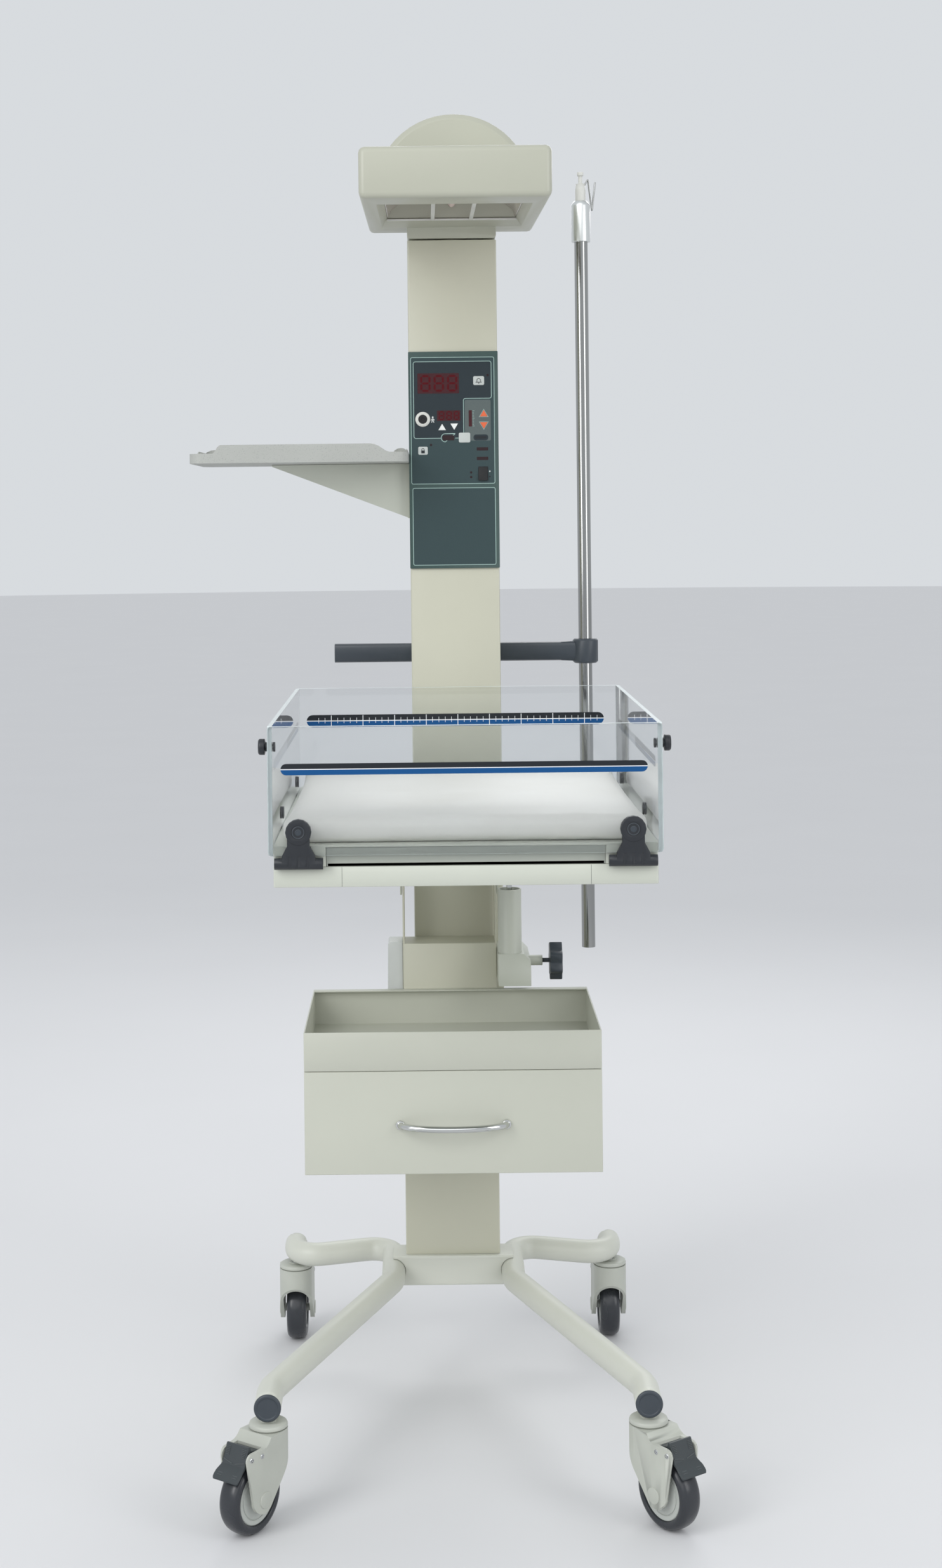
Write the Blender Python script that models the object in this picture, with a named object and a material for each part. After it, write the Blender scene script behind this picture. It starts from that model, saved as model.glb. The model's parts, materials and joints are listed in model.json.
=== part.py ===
"""Infant radiant warmer: a column on a four-castor base, with a tilting bassinet,
a swivelling heater hood, a drawer unit, an instrument shelf and an infusion pole.

Sizes are in metres. The sizes below use a working frame: x = 0 is the middle of the
upper column, y = 0 its front face and z = 0 the floor, with +z up, the front towards
-y and +x to the right. At the end the whole assembly moves so that the origin is the
middle of its footprint on the floor.
"""
import math

import bmesh
import bpy
from mathutils import Matrix, Vector

# Clearances shared by everything that seats, slides or turns
SEAT_GAP = 0.0003
RUNNING_GAP = 0.0008
OVERRUN = 0.004

# Base: two bent leg tubes joined by a crossmember
BASE_MIDDLE_X = -0.016
TUBE_RADIUS = 0.019
TUBE_HEIGHT = 0.160
LEG_END_OFFSET = 0.2605
INNER_RUN_OFFSET = 0.096
FRONT_END_Y = -0.632
FRONT_ELBOW_Y = -0.568
INNER_FRONT_Y = -0.1205
INNER_REAR_Y = 0.053
REAR_ELBOW_Y = 0.001
REAR_END_Y = 0.071
FRONT_BEND_RADIUS = 0.085
INNER_BEND_RADIUS = 0.060
REAR_BEND_RADIUS = 0.036
CAP_THICKNESS = 0.004
CAP_EDGE = 0.0015
CAP_DISH_SHARE = 0.78
CAP_DISH_DEPTH = 0.0006
CROSS_HEIGHT = 0.0476
CROSS_DEPTH = 0.060
CROSS_FRONT_Y = -0.073
CROSS_END_OVERHANG = 0.0005
CROSS_EDGE = 0.002

# Castors, in their own frame: swivel axis at x = y = 0, trailing towards -y
FRONT_STEM_Y = -0.620
REAR_STEM_Y = 0.045
FRONT_CASTOR_TURN = math.radians(36)
REAR_CASTOR_TURN = math.radians(180)
WHEEL_RADIUS = 0.050
WHEEL_WIDTH = 0.034
TRAIL = 0.040
FORK_WIDTH = 0.0575
FORK_LEG = 0.008
FORK_NECK_RADIUS = 0.0273
FORK_TOP_HEIGHT = 0.1275
FORK_NOSE_REACH = 0.052
FORK_ARCH_HEIGHT = 0.097
FORK_EDGE = 0.0025
WHEEL_CLEARANCE = 0.0035
SWIVEL_CAP_RADIUS = 0.0265
SWIVEL_GROOVE = 0.0012
SWIVEL_GROOVE_DEPTH = 0.003
SWIVEL_CAP_HEIGHT = 0.0100
STEM_RADIUS = 0.0075
AXLE_RADIUS = 0.006
AXLE_CAP_RADIUS = 0.0085
AXLE_CAP_HEIGHT = 0.0018
AXLE_BOSS_RADIUS = 0.0145
HUB_RADIUS = 0.037
HUB_GROOVE_RADIUS = 0.029
HUB_GROOVE_WIDTH = 0.0015
HUB_RECESS = 0.0035
PEDAL_WIDTH = 0.042
PEDAL_HINGE_Y = -0.047
PEDAL_HINGE_Z = 0.112
PEDAL_BARREL_RADIUS = 0.006
PEDAL_REACH = 0.055
PEDAL_RISE = 0.014
PEDAL_NOTCH_WIDTH = 0.012
PEDAL_NOTCH_DEPTH = 0.006

# Lower column with its two ears, and the upper column behind it
LOWER_WIDTH = 0.1515
LOWER_DEPTH = 0.0645
LOWER_FRONT_Y = -0.065
LOWER_TOP = 0.685
LOWER_EDGE = 0.0025
EAR_THICKNESS = 0.003
EAR_DEPTH = 0.058
EAR_TOP = 0.905
UPPER_WIDTH = 0.146
UPPER_DEPTH = 0.090
UPPER_BOTTOM = 0.420
UPPER_TOP = 1.8277
UPPER_EDGE = 0.003
NECK_RADIUS = 0.028
NECK_HEIGHT = 0.0142
HOOD_SWIVEL_GAP = 0.0028

# Bassinet: frame, deck, panels
BASSINET_HALF_WIDTH = 0.2556
PANEL_THICKNESS = 0.006
PANEL_BOTTOM = 0.937
PANEL_TOP = 1.1043
PANEL_EDGE = 0.001
PANEL_FRONT_Y = -0.799
PANEL_REAR_Y = -0.134
PANEL_FACE_GAP = 0.0005
FRAME_BOTTOM = 0.8954
FRAME_TOP = 0.9217
FRAME_RAIL_WIDTH = 0.030
FRAME_EDGE = 0.002
PIVOT_Y = -0.033
PIVOT_Z = 0.885
PIVOT_RADIUS = 0.008
ARM_THICKNESS = 0.003
ARM_LOW_Z = 0.762
ARM_NOSE = 0.020
ROD_LUG_WIDTH = 0.020
ROD_LUG_THICKNESS = 0.008
DECK_TOP = 0.9495
DECK_THICKNESS = 0.0025
RUNNER_WIDTH = 0.0685
RUNNER_EDGE = 0.003
TRAY_SIDE_GAP = 0.0015
TRAY_HEIGHT = 0.0045
TRAY_WALL = 0.002
TRAY_REAR_Y = -0.205
MATTRESS_HALF_WIDTH = 0.2445
MATTRESS_FRONT_Y = -0.784
MATTRESS_REAR_Y = -0.150
MATTRESS_THICKNESS = 0.0300
MATTRESS_CROWN = 0.0050
MATTRESS_DRAW_IN = 0.0035
MATTRESS_CORNER = 0.030
MATTRESS_EDGE = 0.008

# Moulded panel hinge, in its own frame: barrel axis along x through the origin
HINGE_BARREL_RADIUS = 0.0075
HINGE_BARREL_LENGTH = 0.0628
HINGE_DISC_RADIUS = 0.0168
HINGE_DISC_RISE = 0.0412
HINGE_FLARE_WIDTH = 0.0430
HINGE_WAIST_WIDTH = 0.0290
HINGE_FLARE_TOP = 0.0105
HINGE_WAIST_Z = 0.0235
HINGE_FRONT = 0.0080
HINGE_FOOT_SETBACK = 0.0005
HINGE_BOLT_RADIUS = 0.004
HINGE_CAP_RADIUS = 0.0085
HINGE_CAP_HEIGHT = 0.0022
HINGE_BOSS_RADIUS = 0.0095
HINGE_BOSS_DEPTH = 0.0010
HINGE_GROOVE_RADIUS = 0.0032
HINGE_GROOVE_PITCH = 0.0118
HINGE_BARREL_Z = 0.9272
FRONT_HINGE_X = 0.216
SIDE_HINGE_FRONT_Y = -0.600
SIDE_HINGE_REAR_Y = -0.235

# Latch knobs on the side panels
LATCH_RADIUS = 0.0108
LATCH_HEIGHT = 0.0125
LATCH_WAIST = 0.0062
LATCH_SPINDLE_RADIUS = 0.003
LATCH_CAP_RADIUS = 0.0065
LATCH_CAP_HEIGHT = 0.003
LATCH_SETBACK = 0.024
LATCH_Z = 1.0762

# Tilt strut on the right of the lower column
STRUT_X = 0.0794
STRUT_Y = -0.105
STRUT_RADIUS = 0.0190
STRUT_BORE = 0.0165
STRUT_TOP = 0.779
STRUT_FLOOR = 0.690
STRUT_ROD_RADIUS = 0.0045
STRUT_ROD_FOOT = 0.012
STRUT_ROD_CLEARANCE = 0.0020
GEARBOX_FRONT_Y = -0.140
GEARBOX_REAR_Y = -0.012
GEARBOX_RIGHT_X = 0.1116
GEARBOX_BOTTOM = 0.630
GEARBOX_SHOULDER = 0.653
GEARBOX_TOP = 0.678
GEARBOX_SLOPE = 0.016
GEARBOX_SIDE_BEVEL = 0.010
CLAMP_Z = 0.6644
CLAMP_STUB_RADIUS = 0.0083
CLAMP_STUB_END_X = 0.1309
CLAMP_SCREW_RADIUS = 0.0036
CLAMP_KNOB_X = 0.1424
CLAMP_KNOB_THICKNESS = 0.0196
CLAMP_KNOB_RADIUS = 0.0306
CLAMP_LOBES = 7
CLAMP_LOBE_SHARE = 0.10
CLAMP_SCREW_DEPTH = 0.030

# Mains box on the left of the lower column
MAINS_WIDTH = 0.0237
MAINS_FRONT_SETBACK = 0.006
MAINS_DEPTH = 0.052
MAINS_BOTTOM = 0.470
MAINS_TOP = 0.6865
MAINS_TAPER = 0.003
MAINS_EDGE = 0.002
MAINS_INLET_WIDTH = 0.022
MAINS_INLET_HEIGHT = 0.030
MAINS_INLET_DEPTH = 0.014
MAINS_INLET_RISE = 0.018

# Drawer unit on the front of the lower column
CASE_WIDTH = 0.4404
CASE_FRONT_Y = -0.376
CASE_TOP = 0.6128
CASE_SPLIT = 0.5557
CASE_BOTTOM = 0.4028
CASE_SHEET = 0.002
CASE_TRAY_FLOOR = 0.004
CASE_LIP_DEPTH = 0.012
CASE_EDGE = 0.001
DRAWER_FRONT_THICKNESS = 0.018
DRAWER_FRONT_GAP = 0.001
DRAWER_SIDE_GAP = 0.001
DRAWER_WALL = 0.002
DRAWER_HEADROOM = 0.018
DRAWER_BACK_GAP = 0.010
HANDLE_HALF_WIDTH = 0.0787
HANDLE_BOW = 0.029
HANDLE_RADIUS = 0.005
HANDLE_Z = 0.476
HANDLE_FOOT_RADIUS = 0.0068
HANDLE_FOOT_LENGTH = 0.004

# Instrument shelf and its bracket
SHELF_LEFT_X = -0.4225
SHELF_DEPTH = 0.260
SHELF_FRONT_Y = -0.130
SHELF_BOTTOM = 1.462
SHELF_HEIGHT = 0.029
SHELF_WALL = 0.004
SHELF_CORNER = 0.022
SHELF_NOTCH_OFFSET = 0.036
SHELF_NOTCH_RADIUS = 0.0125
BRACKET_LEFT_X = -0.2999
BRACKET_HEIGHT = 0.090
BRACKET_SHEET = 0.003
BRACKET_FRONT_Y = 0.012
BRACKET_DEPTH = 0.066

# Accessory rail and infusion pole
RAIL_LEFT_X = -0.203
RAIL_HEIGHT = 0.031
RAIL_DEPTH = 0.024
RAIL_Z = 1.1453
RAIL_CORNER = 0.006
COLLAR_RADIUS = 0.02135
COLLAR_HEIGHT = 0.041
COLLAR_EDGE = 0.003
COLLAR_FLARE = 0.020
POLE_X = 0.2195
POLE_RADIUS = 0.0113
POLE_BOTTOM = 0.646
POLE_SLEEVE_RADIUS = 0.0159
POLE_SLEEVE_BOTTOM = 1.834
POLE_SLEEVE_SHOULDER = 1.896
POLE_TOP = 1.903
POLE_MOUTH_RADIUS = 0.0125
EXTENSION_RADIUS = 0.009
EXTENSION_BOTTOM = 1.420
EXTENSION_TOP = 1.932
POLE_BORE_BOTTOM = 1.400
STUD_RADIUS = 0.0035
STUD_NUT_RADIUS = 0.0055
STUD_TOP = 1.9517
STUD_NUT_HEIGHT = 0.006
HOOK_WIRE_RADIUS = 0.0015
HOOK_RING_RADIUS = 0.0068
HOOK_RING_HEIGHT = 0.005
HOOK_PEAK_X = 0.0134
HOOK_VALLEY_X = 0.0177
HOOK_TIP_X = 0.0246
HOOK_DROP = 0.0485

# Control panel on the upper column
CONSOLE_HALF_WIDTH = 0.0735
CONSOLE_BOTTOM = 1.2889
CONSOLE_TOP = 1.6444
CONSOLE_THICKNESS = 0.004
CONSOLE_EDGE = 0.0012
KEY_POCKET_DEPTH = 0.0032
KEY_STAND = 0.0010
KEY_TRAVEL = 0.0008
KEY_CORNER = 0.002
MUTE_KEY = (0.0419, 0.0483, 0.0180, 0.0146)
LOCK_KEY = (-0.0506, 0.1624, 0.0156, 0.0132)
MODE_KEY = (0.0177, 0.1415, 0.0188, 0.0162)
ARROW_WIDTH = 0.0125
ARROW_HEIGHT = 0.0105
SET_UP_KEY = (-0.0188, 0.1237)
SET_DOWN_KEY = (0.0010, 0.1235)
OUTPUT_UP_KEY = (0.0496, 0.1019)
OUTPUT_DOWN_KEY = (0.0496, 0.1219)
ROCKER_PLACE = (0.0474, 0.2012)
ROCKER_WIDTH = 0.0156
ROCKER_HEIGHT = 0.0229
ROCKER_PROUD = 0.0042
ROCKER_SIDE_GAP = 0.0004

# Heater hood, in its own frame: underside at z = 0, front at y = 0, tilted by its pitch
HOOD_HALF_WIDTH = 0.1379
HOOD_LENGTH = 0.619
HOOD_HEIGHT = 0.074
HOOD_FRONT_Y = -0.505
HOOD_FRONT_Z = 1.8268
HOOD_PITCH = math.radians(2.5)
HOOD_EDGE = 0.009
HOOD_ROOF = 0.004
RECESS_FRONT = 0.100
RECESS_REAR = 0.495
RECESS_HALF_WIDTH = 0.1145
RECESS_DEPTH = 0.012
RECESS_SIDE_SLOPE = 0.010
RECESS_END_SLOPE = 0.032
CAVITY_HEIGHT = 0.064
REFLECTOR_SHEET = 0.0012
REFLECTOR_HEIGHT = 0.040
HEATER_RADIUS = 0.006
HEATER_HEIGHT = 0.034
GUARD_WIRE = 0.003
GUARD_BAR = 0.006
GUARD_BAR_X = 0.031
GUARD_SEAT_SHARE = 0.875
DRUM_RADIUS = 0.1207
DRUM_SEGMENT = 0.0725
DRUM_FRONT = 0.215
DRUM_LENGTH = 0.300
DRUM_CHAMFER = 0.008
BLOCK_CORNER = 0.005

# How finely round shapes are divided
WHEEL_STEPS = 24
HINGE_STEPS = 16
TUBE_SIDES = 16
ROUND_STEPS = 20
SMALL_STEPS = 12
BEND_STEPS = 6

FINISHES = {
    "painted_steel": ((0.62, 0.63, 0.56), 0.42, 0.0),
    "moulded_white": ((0.72, 0.73, 0.70), 0.50, 0.0),
    "dark_plastic": ((0.035, 0.040, 0.050), 0.45, 0.0),
    "slate_plastic": ((0.075, 0.090, 0.105), 0.40, 0.0),
    "tyre_rubber": ((0.045, 0.048, 0.055), 0.60, 0.0),
    "chrome": ((0.78, 0.78, 0.78), 0.12, 1.0),
    "acrylic": ((0.86, 0.90, 0.90), 0.05, 0.0),
    "tray_grey": ((0.42, 0.43, 0.38), 0.45, 0.0),
    "mattress_cover": ((0.86, 0.86, 0.84), 0.80, 0.0),
    "console_face": ((0.050, 0.085, 0.105), 0.45, 0.0),
    "key_grey": ((0.66, 0.68, 0.66), 0.50, 0.0),
    "key_white": ((0.86, 0.87, 0.85), 0.50, 0.0),
    "key_orange": ((0.78, 0.20, 0.08), 0.50, 0.0),
    "switch_black": ((0.020, 0.020, 0.022), 0.35, 0.0),
    "reflector_metal": ((0.80, 0.72, 0.70), 0.25, 1.0),
    "quartz_glass": ((0.82, 0.70, 0.66), 0.20, 0.0),
}

JOINT_PLACES = {}


def clear_scene():
    """Start from an empty scene."""
    for leftover in list(bpy.data.objects):
        bpy.data.objects.remove(leftover, do_unlink=True)


def finish_material(name):
    """The Principled material of one finish, made once."""
    if name in bpy.data.materials:
        return bpy.data.materials[name]
    colour, roughness, metallic = FINISHES[name]
    material = bpy.data.materials.new(name)
    material.use_nodes = True
    shader = material.node_tree.nodes["Principled BSDF"]
    shader.inputs["Base Color"].default_value = (*colour, 1.0)
    shader.inputs["Roughness"].default_value = roughness
    shader.inputs["Metallic"].default_value = metallic
    material.diffuse_color = (*colour, 1.0)
    return material


def joint(name, place, carrier=None):
    """An empty on a joint's axis. Pieces of the moving body are its children."""
    axis = bpy.data.objects.new(name, None)
    bpy.context.collection.objects.link(axis)
    JOINT_PLACES[name] = Vector(place)
    if carrier:
        axis.parent = bpy.data.objects[carrier]
        axis.location = JOINT_PLACES[name] - JOINT_PLACES[carrier]
    else:
        axis.location = JOINT_PLACES[name]
    return name


def piece(name, mesh, carrier, finish, local=False, turn=0.0):
    """One named sub-part. Unless it is local, its mesh is in the working frame."""
    if not local:
        mesh.transform(Matrix.Translation(-JOINT_PLACES[carrier]))
    mesh.name = name
    mesh.materials.clear()
    mesh.materials.append(finish_material(finish))
    mesh.shade_smooth()
    mesh.set_sharp_from_angle(angle=math.radians(35))
    part = bpy.data.objects.new(name, mesh)
    part.parent = bpy.data.objects[carrier]
    part.rotation_euler[2] = turn
    bpy.context.collection.objects.link(part)
    return part


def mesh_of(bm):
    """A mesh from a bmesh, with its faces pointing out."""
    bmesh.ops.recalc_face_normals(bm, faces=bm.faces)
    mesh = bpy.data.meshes.new("shape")
    bm.to_mesh(mesh)
    bm.free()
    return mesh


def boolean(body, others, operation):
    """Join others to a body, or cut them out of it."""
    base = bpy.data.objects.new("base", body)
    bpy.context.collection.objects.link(base)
    tools = []
    for other in others:
        tool = bpy.data.objects.new("tool", other)
        bpy.context.collection.objects.link(tool)
        tools.append(tool)
        modifier = base.modifiers.new("boolean", "BOOLEAN")
        modifier.operation = operation
        modifier.object = tool
    depsgraph = bpy.context.evaluated_depsgraph_get()
    result = bpy.data.meshes.new_from_object(base.evaluated_get(depsgraph))
    for leftover in [base] + tools:
        bpy.data.objects.remove(leftover, do_unlink=True)
    return result


def weld(body, *others):
    return boolean(body, others, "UNION")


def carve(body, *others):
    return boolean(body, others, "DIFFERENCE")


def block(low, high, round_along="", radius=0.0, steps=2):
    """A box between two corners, with the edges along the named axes rounded."""
    bm = bmesh.new()
    size = Vector(high) - Vector(low)
    middle = (Vector(high) + Vector(low)) / 2
    bmesh.ops.create_cube(bm, size=1.0)
    bmesh.ops.scale(bm, vec=size, verts=bm.verts)
    bmesh.ops.translate(bm, vec=middle, verts=bm.verts)
    chosen = []
    for edge in bm.edges:
        along = (edge.verts[1].co - edge.verts[0].co).normalized()
        for name, axis in (("x", (1, 0, 0)), ("y", (0, 1, 0)), ("z", (0, 0, 1))):
            if name in round_along and abs(along.dot(Vector(axis))) > 0.9:
                chosen.append(edge)
    if chosen:
        bmesh.ops.bevel(bm, geom=chosen, offset=radius, segments=steps, profile=0.5,
                        affect="EDGES")
    return mesh_of(bm)


def prism(outline, axis, low, high):
    """An outline pushed along an axis. Along x it is (y, z), along y (x, z), along z (x, y)."""
    bm = bmesh.new()
    rings = []
    for level in (low, high):
        ring = []
        for first, second in outline:
            place = {"x": (level, first, second), "y": (first, level, second),
                     "z": (first, second, level)}[axis]
            ring.append(bm.verts.new(place))
        rings.append(ring)
    bm.faces.new(rings[0])
    bm.faces.new(rings[1])
    count = len(outline)
    for index in range(count):
        after = (index + 1) % count
        bm.faces.new((rings[0][index], rings[0][after], rings[1][after], rings[1][index]))
    return mesh_of(bm)


def lathe(profile, steps, axis="z", centre=(0.0, 0.0, 0.0)):
    """A profile of (radius, height) pairs turned about an axis through a centre."""
    bm = bmesh.new()
    rings = []
    for radius, height in profile:
        ring = []
        count = steps if radius > 0 else 1
        for index in range(count):
            angle = 2 * math.pi * index / steps
            side, depth = radius * math.cos(angle), radius * math.sin(angle)
            place = {"z": (side, depth, height), "x": (height, side, depth),
                     "y": (side, height, depth)}[axis]
            ring.append(bm.verts.new(Vector(centre) + Vector(place)))
        rings.append(ring)
    closed = profile[0][0] > 0 and profile[-1][0] > 0
    pairs = list(zip(rings, rings[1:]))
    if closed:
        pairs.append((rings[-1], rings[0]))
    for lower, upper in pairs:
        for index in range(steps):
            after = (index + 1) % steps
            if len(lower) == 1:
                bm.faces.new((lower[0], upper[after], upper[index]))
            elif len(upper) == 1:
                bm.faces.new((lower[index], lower[after], upper[0]))
            else:
                bm.faces.new((lower[index], lower[after], upper[after], upper[index]))
    return mesh_of(bm)


def rod(radius, low, high, steps, axis="z", centre=(0.0, 0.0, 0.0)):
    """A plain cylinder between two heights on an axis."""
    return lathe([(0, low), (radius, low), (radius, high), (0, high)], steps, axis, centre)


def sweep(points, radius, sides):
    """A round bar along a smooth run of points, closed at both ends."""
    bm = bmesh.new()
    points = [Vector(point) for point in points]
    tangents = []
    for index in range(len(points)):
        before = points[max(index - 1, 0)]
        after = points[min(index + 1, len(points) - 1)]
        tangents.append((after - before).normalized())
    up = Vector((0, 0, 1)) if abs(tangents[0].z) < 0.9 else Vector((1, 0, 0))
    side = tangents[0].cross(up).normalized()
    rings = []
    for point, tangent in zip(points, tangents):
        side = (side - tangent * side.dot(tangent)).normalized()
        over = tangent.cross(side)
        ring = []
        for index in range(sides):
            angle = 2 * math.pi * index / sides
            offset = side * math.cos(angle) + over * math.sin(angle)
            ring.append(bm.verts.new(point + offset * radius))
        rings.append(ring)
    bm.faces.new(rings[0])
    bm.faces.new(rings[-1])
    for lower, upper in zip(rings, rings[1:]):
        for index in range(sides):
            after = (index + 1) % sides
            bm.faces.new((lower[index], lower[after], upper[after], upper[index]))
    return mesh_of(bm)


def filleted(corners, radii, steps=BEND_STEPS):
    """A run of points through corners, each inner corner replaced by an arc."""
    corners = [Vector(corner) for corner in corners]
    route = [corners[0]]
    for index, radius in enumerate(radii, start=1):
        corner = corners[index]
        back = (corners[index - 1] - corner).normalized()
        ahead = (corners[index + 1] - corner).normalized()
        half = back.angle(ahead) / 2
        reach = radius / math.tan(half)
        middle = corner + (back + ahead).normalized() * (radius / math.sin(half))
        start = corner + back * reach - middle
        end = corner + ahead * reach - middle
        turn = start.angle(end)
        axis = start.cross(end).normalized()
        for step in range(steps + 1):
            rotation = Matrix.Rotation(turn * step / steps, 3, axis)
            route.append(middle + rotation @ start)
    route.append(corners[-1])
    return route


def arc(centre, radius, start, end, steps):
    """Points on a circle from one angle to another, in degrees."""
    points = []
    for step in range(steps + 1):
        angle = math.radians(start + (end - start) * step / steps)
        points.append((centre[0] + radius * math.cos(angle),
                       centre[1] + radius * math.sin(angle)))
    return points


def round_rectangle(half_width, half_height, radius, steps=3, centre=(0.0, 0.0)):
    """The outline of a rectangle with round corners."""
    points = []
    for side, rise, start in ((1, 1, 0), (-1, 1, 90), (-1, -1, 180), (1, -1, 270)):
        corner = (centre[0] + side * (half_width - radius),
                  centre[1] + rise * (half_height - radius))
        points += arc(corner, radius, start, start + 90, steps)
    return points


# Base

def leg_route(side):
    """The axis of one leg tube, from its front end to its rear end."""
    end_x = BASE_MIDDLE_X + side * LEG_END_OFFSET
    run_x = BASE_MIDDLE_X + side * INNER_RUN_OFFSET
    corners = [(end_x, FRONT_END_Y, TUBE_HEIGHT), (end_x, FRONT_ELBOW_Y, TUBE_HEIGHT),
               (run_x, INNER_FRONT_Y, TUBE_HEIGHT), (run_x, INNER_REAR_Y, TUBE_HEIGHT),
               (end_x, REAR_ELBOW_Y, TUBE_HEIGHT), (end_x, REAR_END_Y, TUBE_HEIGHT)]
    radii = [FRONT_BEND_RADIUS, INNER_BEND_RADIUS, REAR_BEND_RADIUS, REAR_BEND_RADIUS]
    return filleted(corners, radii)


def tube_cap(side):
    """A push-in end cap with a shallow dished face."""
    place = (BASE_MIDDLE_X + side * LEG_END_OFFSET, FRONT_END_Y - SEAT_GAP, TUBE_HEIGHT)
    dish = TUBE_RADIUS * CAP_DISH_SHARE
    profile = [(0, 0), (TUBE_RADIUS, 0), (TUBE_RADIUS, CAP_EDGE - CAP_THICKNESS),
               (TUBE_RADIUS - CAP_EDGE, -CAP_THICKNESS), (dish, -CAP_THICKNESS),
               (dish - CAP_DISH_DEPTH, CAP_DISH_DEPTH - CAP_THICKNESS),
               (0, CAP_DISH_DEPTH - CAP_THICKNESS)]
    return lathe(profile, ROUND_STEPS, "y", place)


def crossmember():
    """A box with a saddle at each end that takes the leg tube."""
    half = INNER_RUN_OFFSET + CROSS_END_OVERHANG
    low = (BASE_MIDDLE_X - half, CROSS_FRONT_Y, TUBE_HEIGHT - CROSS_HEIGHT / 2)
    high = (BASE_MIDDLE_X + half, CROSS_FRONT_Y + CROSS_DEPTH, TUBE_HEIGHT + CROSS_HEIGHT / 2)
    body = block(low, high, "x", CROSS_EDGE)
    saddles = []
    for side in (-1, 1):
        centre = (BASE_MIDDLE_X + side * INNER_RUN_OFFSET, 0, TUBE_HEIGHT)
        saddles.append(rod(TUBE_RADIUS + SEAT_GAP, CROSS_FRONT_Y - OVERRUN,
                           CROSS_FRONT_Y + CROSS_DEPTH + OVERRUN, ROUND_STEPS, "y", centre))
    return carve(body, *saddles)


def build_base():
    piece("base_crossmember", crossmember(), "warmer", "painted_steel")
    for side, word in ((-1, "left"), (1, "right")):
        tube = sweep(leg_route(side), TUBE_RADIUS, TUBE_SIDES)
        piece("leg_tube_" + word, tube, "warmer", "painted_steel")
        piece("tube_cap_" + word, tube_cap(side), "warmer", "slate_plastic")


# Castors

def castor_fork():
    """The moulded twin-sided fork, its swivel cap and stem, above one wheel."""
    legs = FORK_WIDTH / 2
    slot = legs - FORK_LEG
    axle = (-TRAIL, WHEEL_RADIUS)
    outline = [(FORK_NECK_RADIUS, FORK_TOP_HEIGHT),
               (-FORK_NECK_RADIUS, FORK_TOP_HEIGHT),
               (-FORK_NECK_RADIUS - FORK_EDGE, FORK_TOP_HEIGHT - 3 * FORK_EDGE),
               (-FORK_NOSE_REACH, FORK_TOP_HEIGHT - 5 * FORK_EDGE),
               (-FORK_NOSE_REACH, FORK_ARCH_HEIGHT - 3 * FORK_EDGE)]
    outline += arc(axle, AXLE_BOSS_RADIUS, 180, 330, 6)
    outline += [(FORK_NECK_RADIUS, FORK_ARCH_HEIGHT - 7 * FORK_EDGE)]
    body = prism(outline, "x", -legs, legs)
    neck = rod(FORK_NECK_RADIUS + FORK_EDGE / 2, FORK_ARCH_HEIGHT + FORK_EDGE,
               FORK_TOP_HEIGHT + FORK_EDGE / 4, ROUND_STEPS)
    groove_top = FORK_TOP_HEIGHT + SWIVEL_GROOVE
    cap_top = groove_top + SWIVEL_CAP_HEIGHT
    stem_top = TUBE_HEIGHT - TUBE_RADIUS - SEAT_GAP
    groove_radius = SWIVEL_CAP_RADIUS - SWIVEL_GROOVE_DEPTH
    cap = lathe([(0, FORK_TOP_HEIGHT - FORK_EDGE), (groove_radius, FORK_TOP_HEIGHT - FORK_EDGE),
                 (groove_radius, groove_top), (SWIVEL_CAP_RADIUS, groove_top),
                 (SWIVEL_CAP_RADIUS, cap_top - FORK_EDGE),
                 (SWIVEL_CAP_RADIUS - FORK_EDGE, cap_top),
                 (STEM_RADIUS, cap_top), (STEM_RADIUS, stem_top), (0, stem_top)], ROUND_STEPS)
    caps = [rod(AXLE_CAP_RADIUS, side * (legs - FORK_LEG / 2),
                side * (legs + AXLE_CAP_HEIGHT), SMALL_STEPS, "x", (0, *axle))
            for side in (-1, 1)]
    body = weld(body, neck, cap, *caps)
    arch = [(slot, -OVERRUN), (slot, FORK_ARCH_HEIGHT - slot)]
    arch += arc((0, FORK_ARCH_HEIGHT - slot), slot, 0, 180, 8)
    arch += [(-slot, -OVERRUN)]
    tunnel = prism(arch, "y", -TRAIL - WHEEL_RADIUS - OVERRUN, FORK_NECK_RADIUS + OVERRUN)
    wheel_room = rod(WHEEL_RADIUS + WHEEL_CLEARANCE, -slot, slot, WHEEL_STEPS, "x", (0, *axle))
    pedal_half = PEDAL_WIDTH / 2 + SEAT_GAP
    pedal_room = block((-pedal_half, -FORK_NOSE_REACH - OVERRUN, FORK_ARCH_HEIGHT),
                       (pedal_half, PEDAL_HINGE_Y + PEDAL_BARREL_RADIUS + RUNNING_GAP,
                        FORK_TOP_HEIGHT + OVERRUN))
    return carve(carve(body, tunnel, wheel_room), pedal_room)


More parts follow.
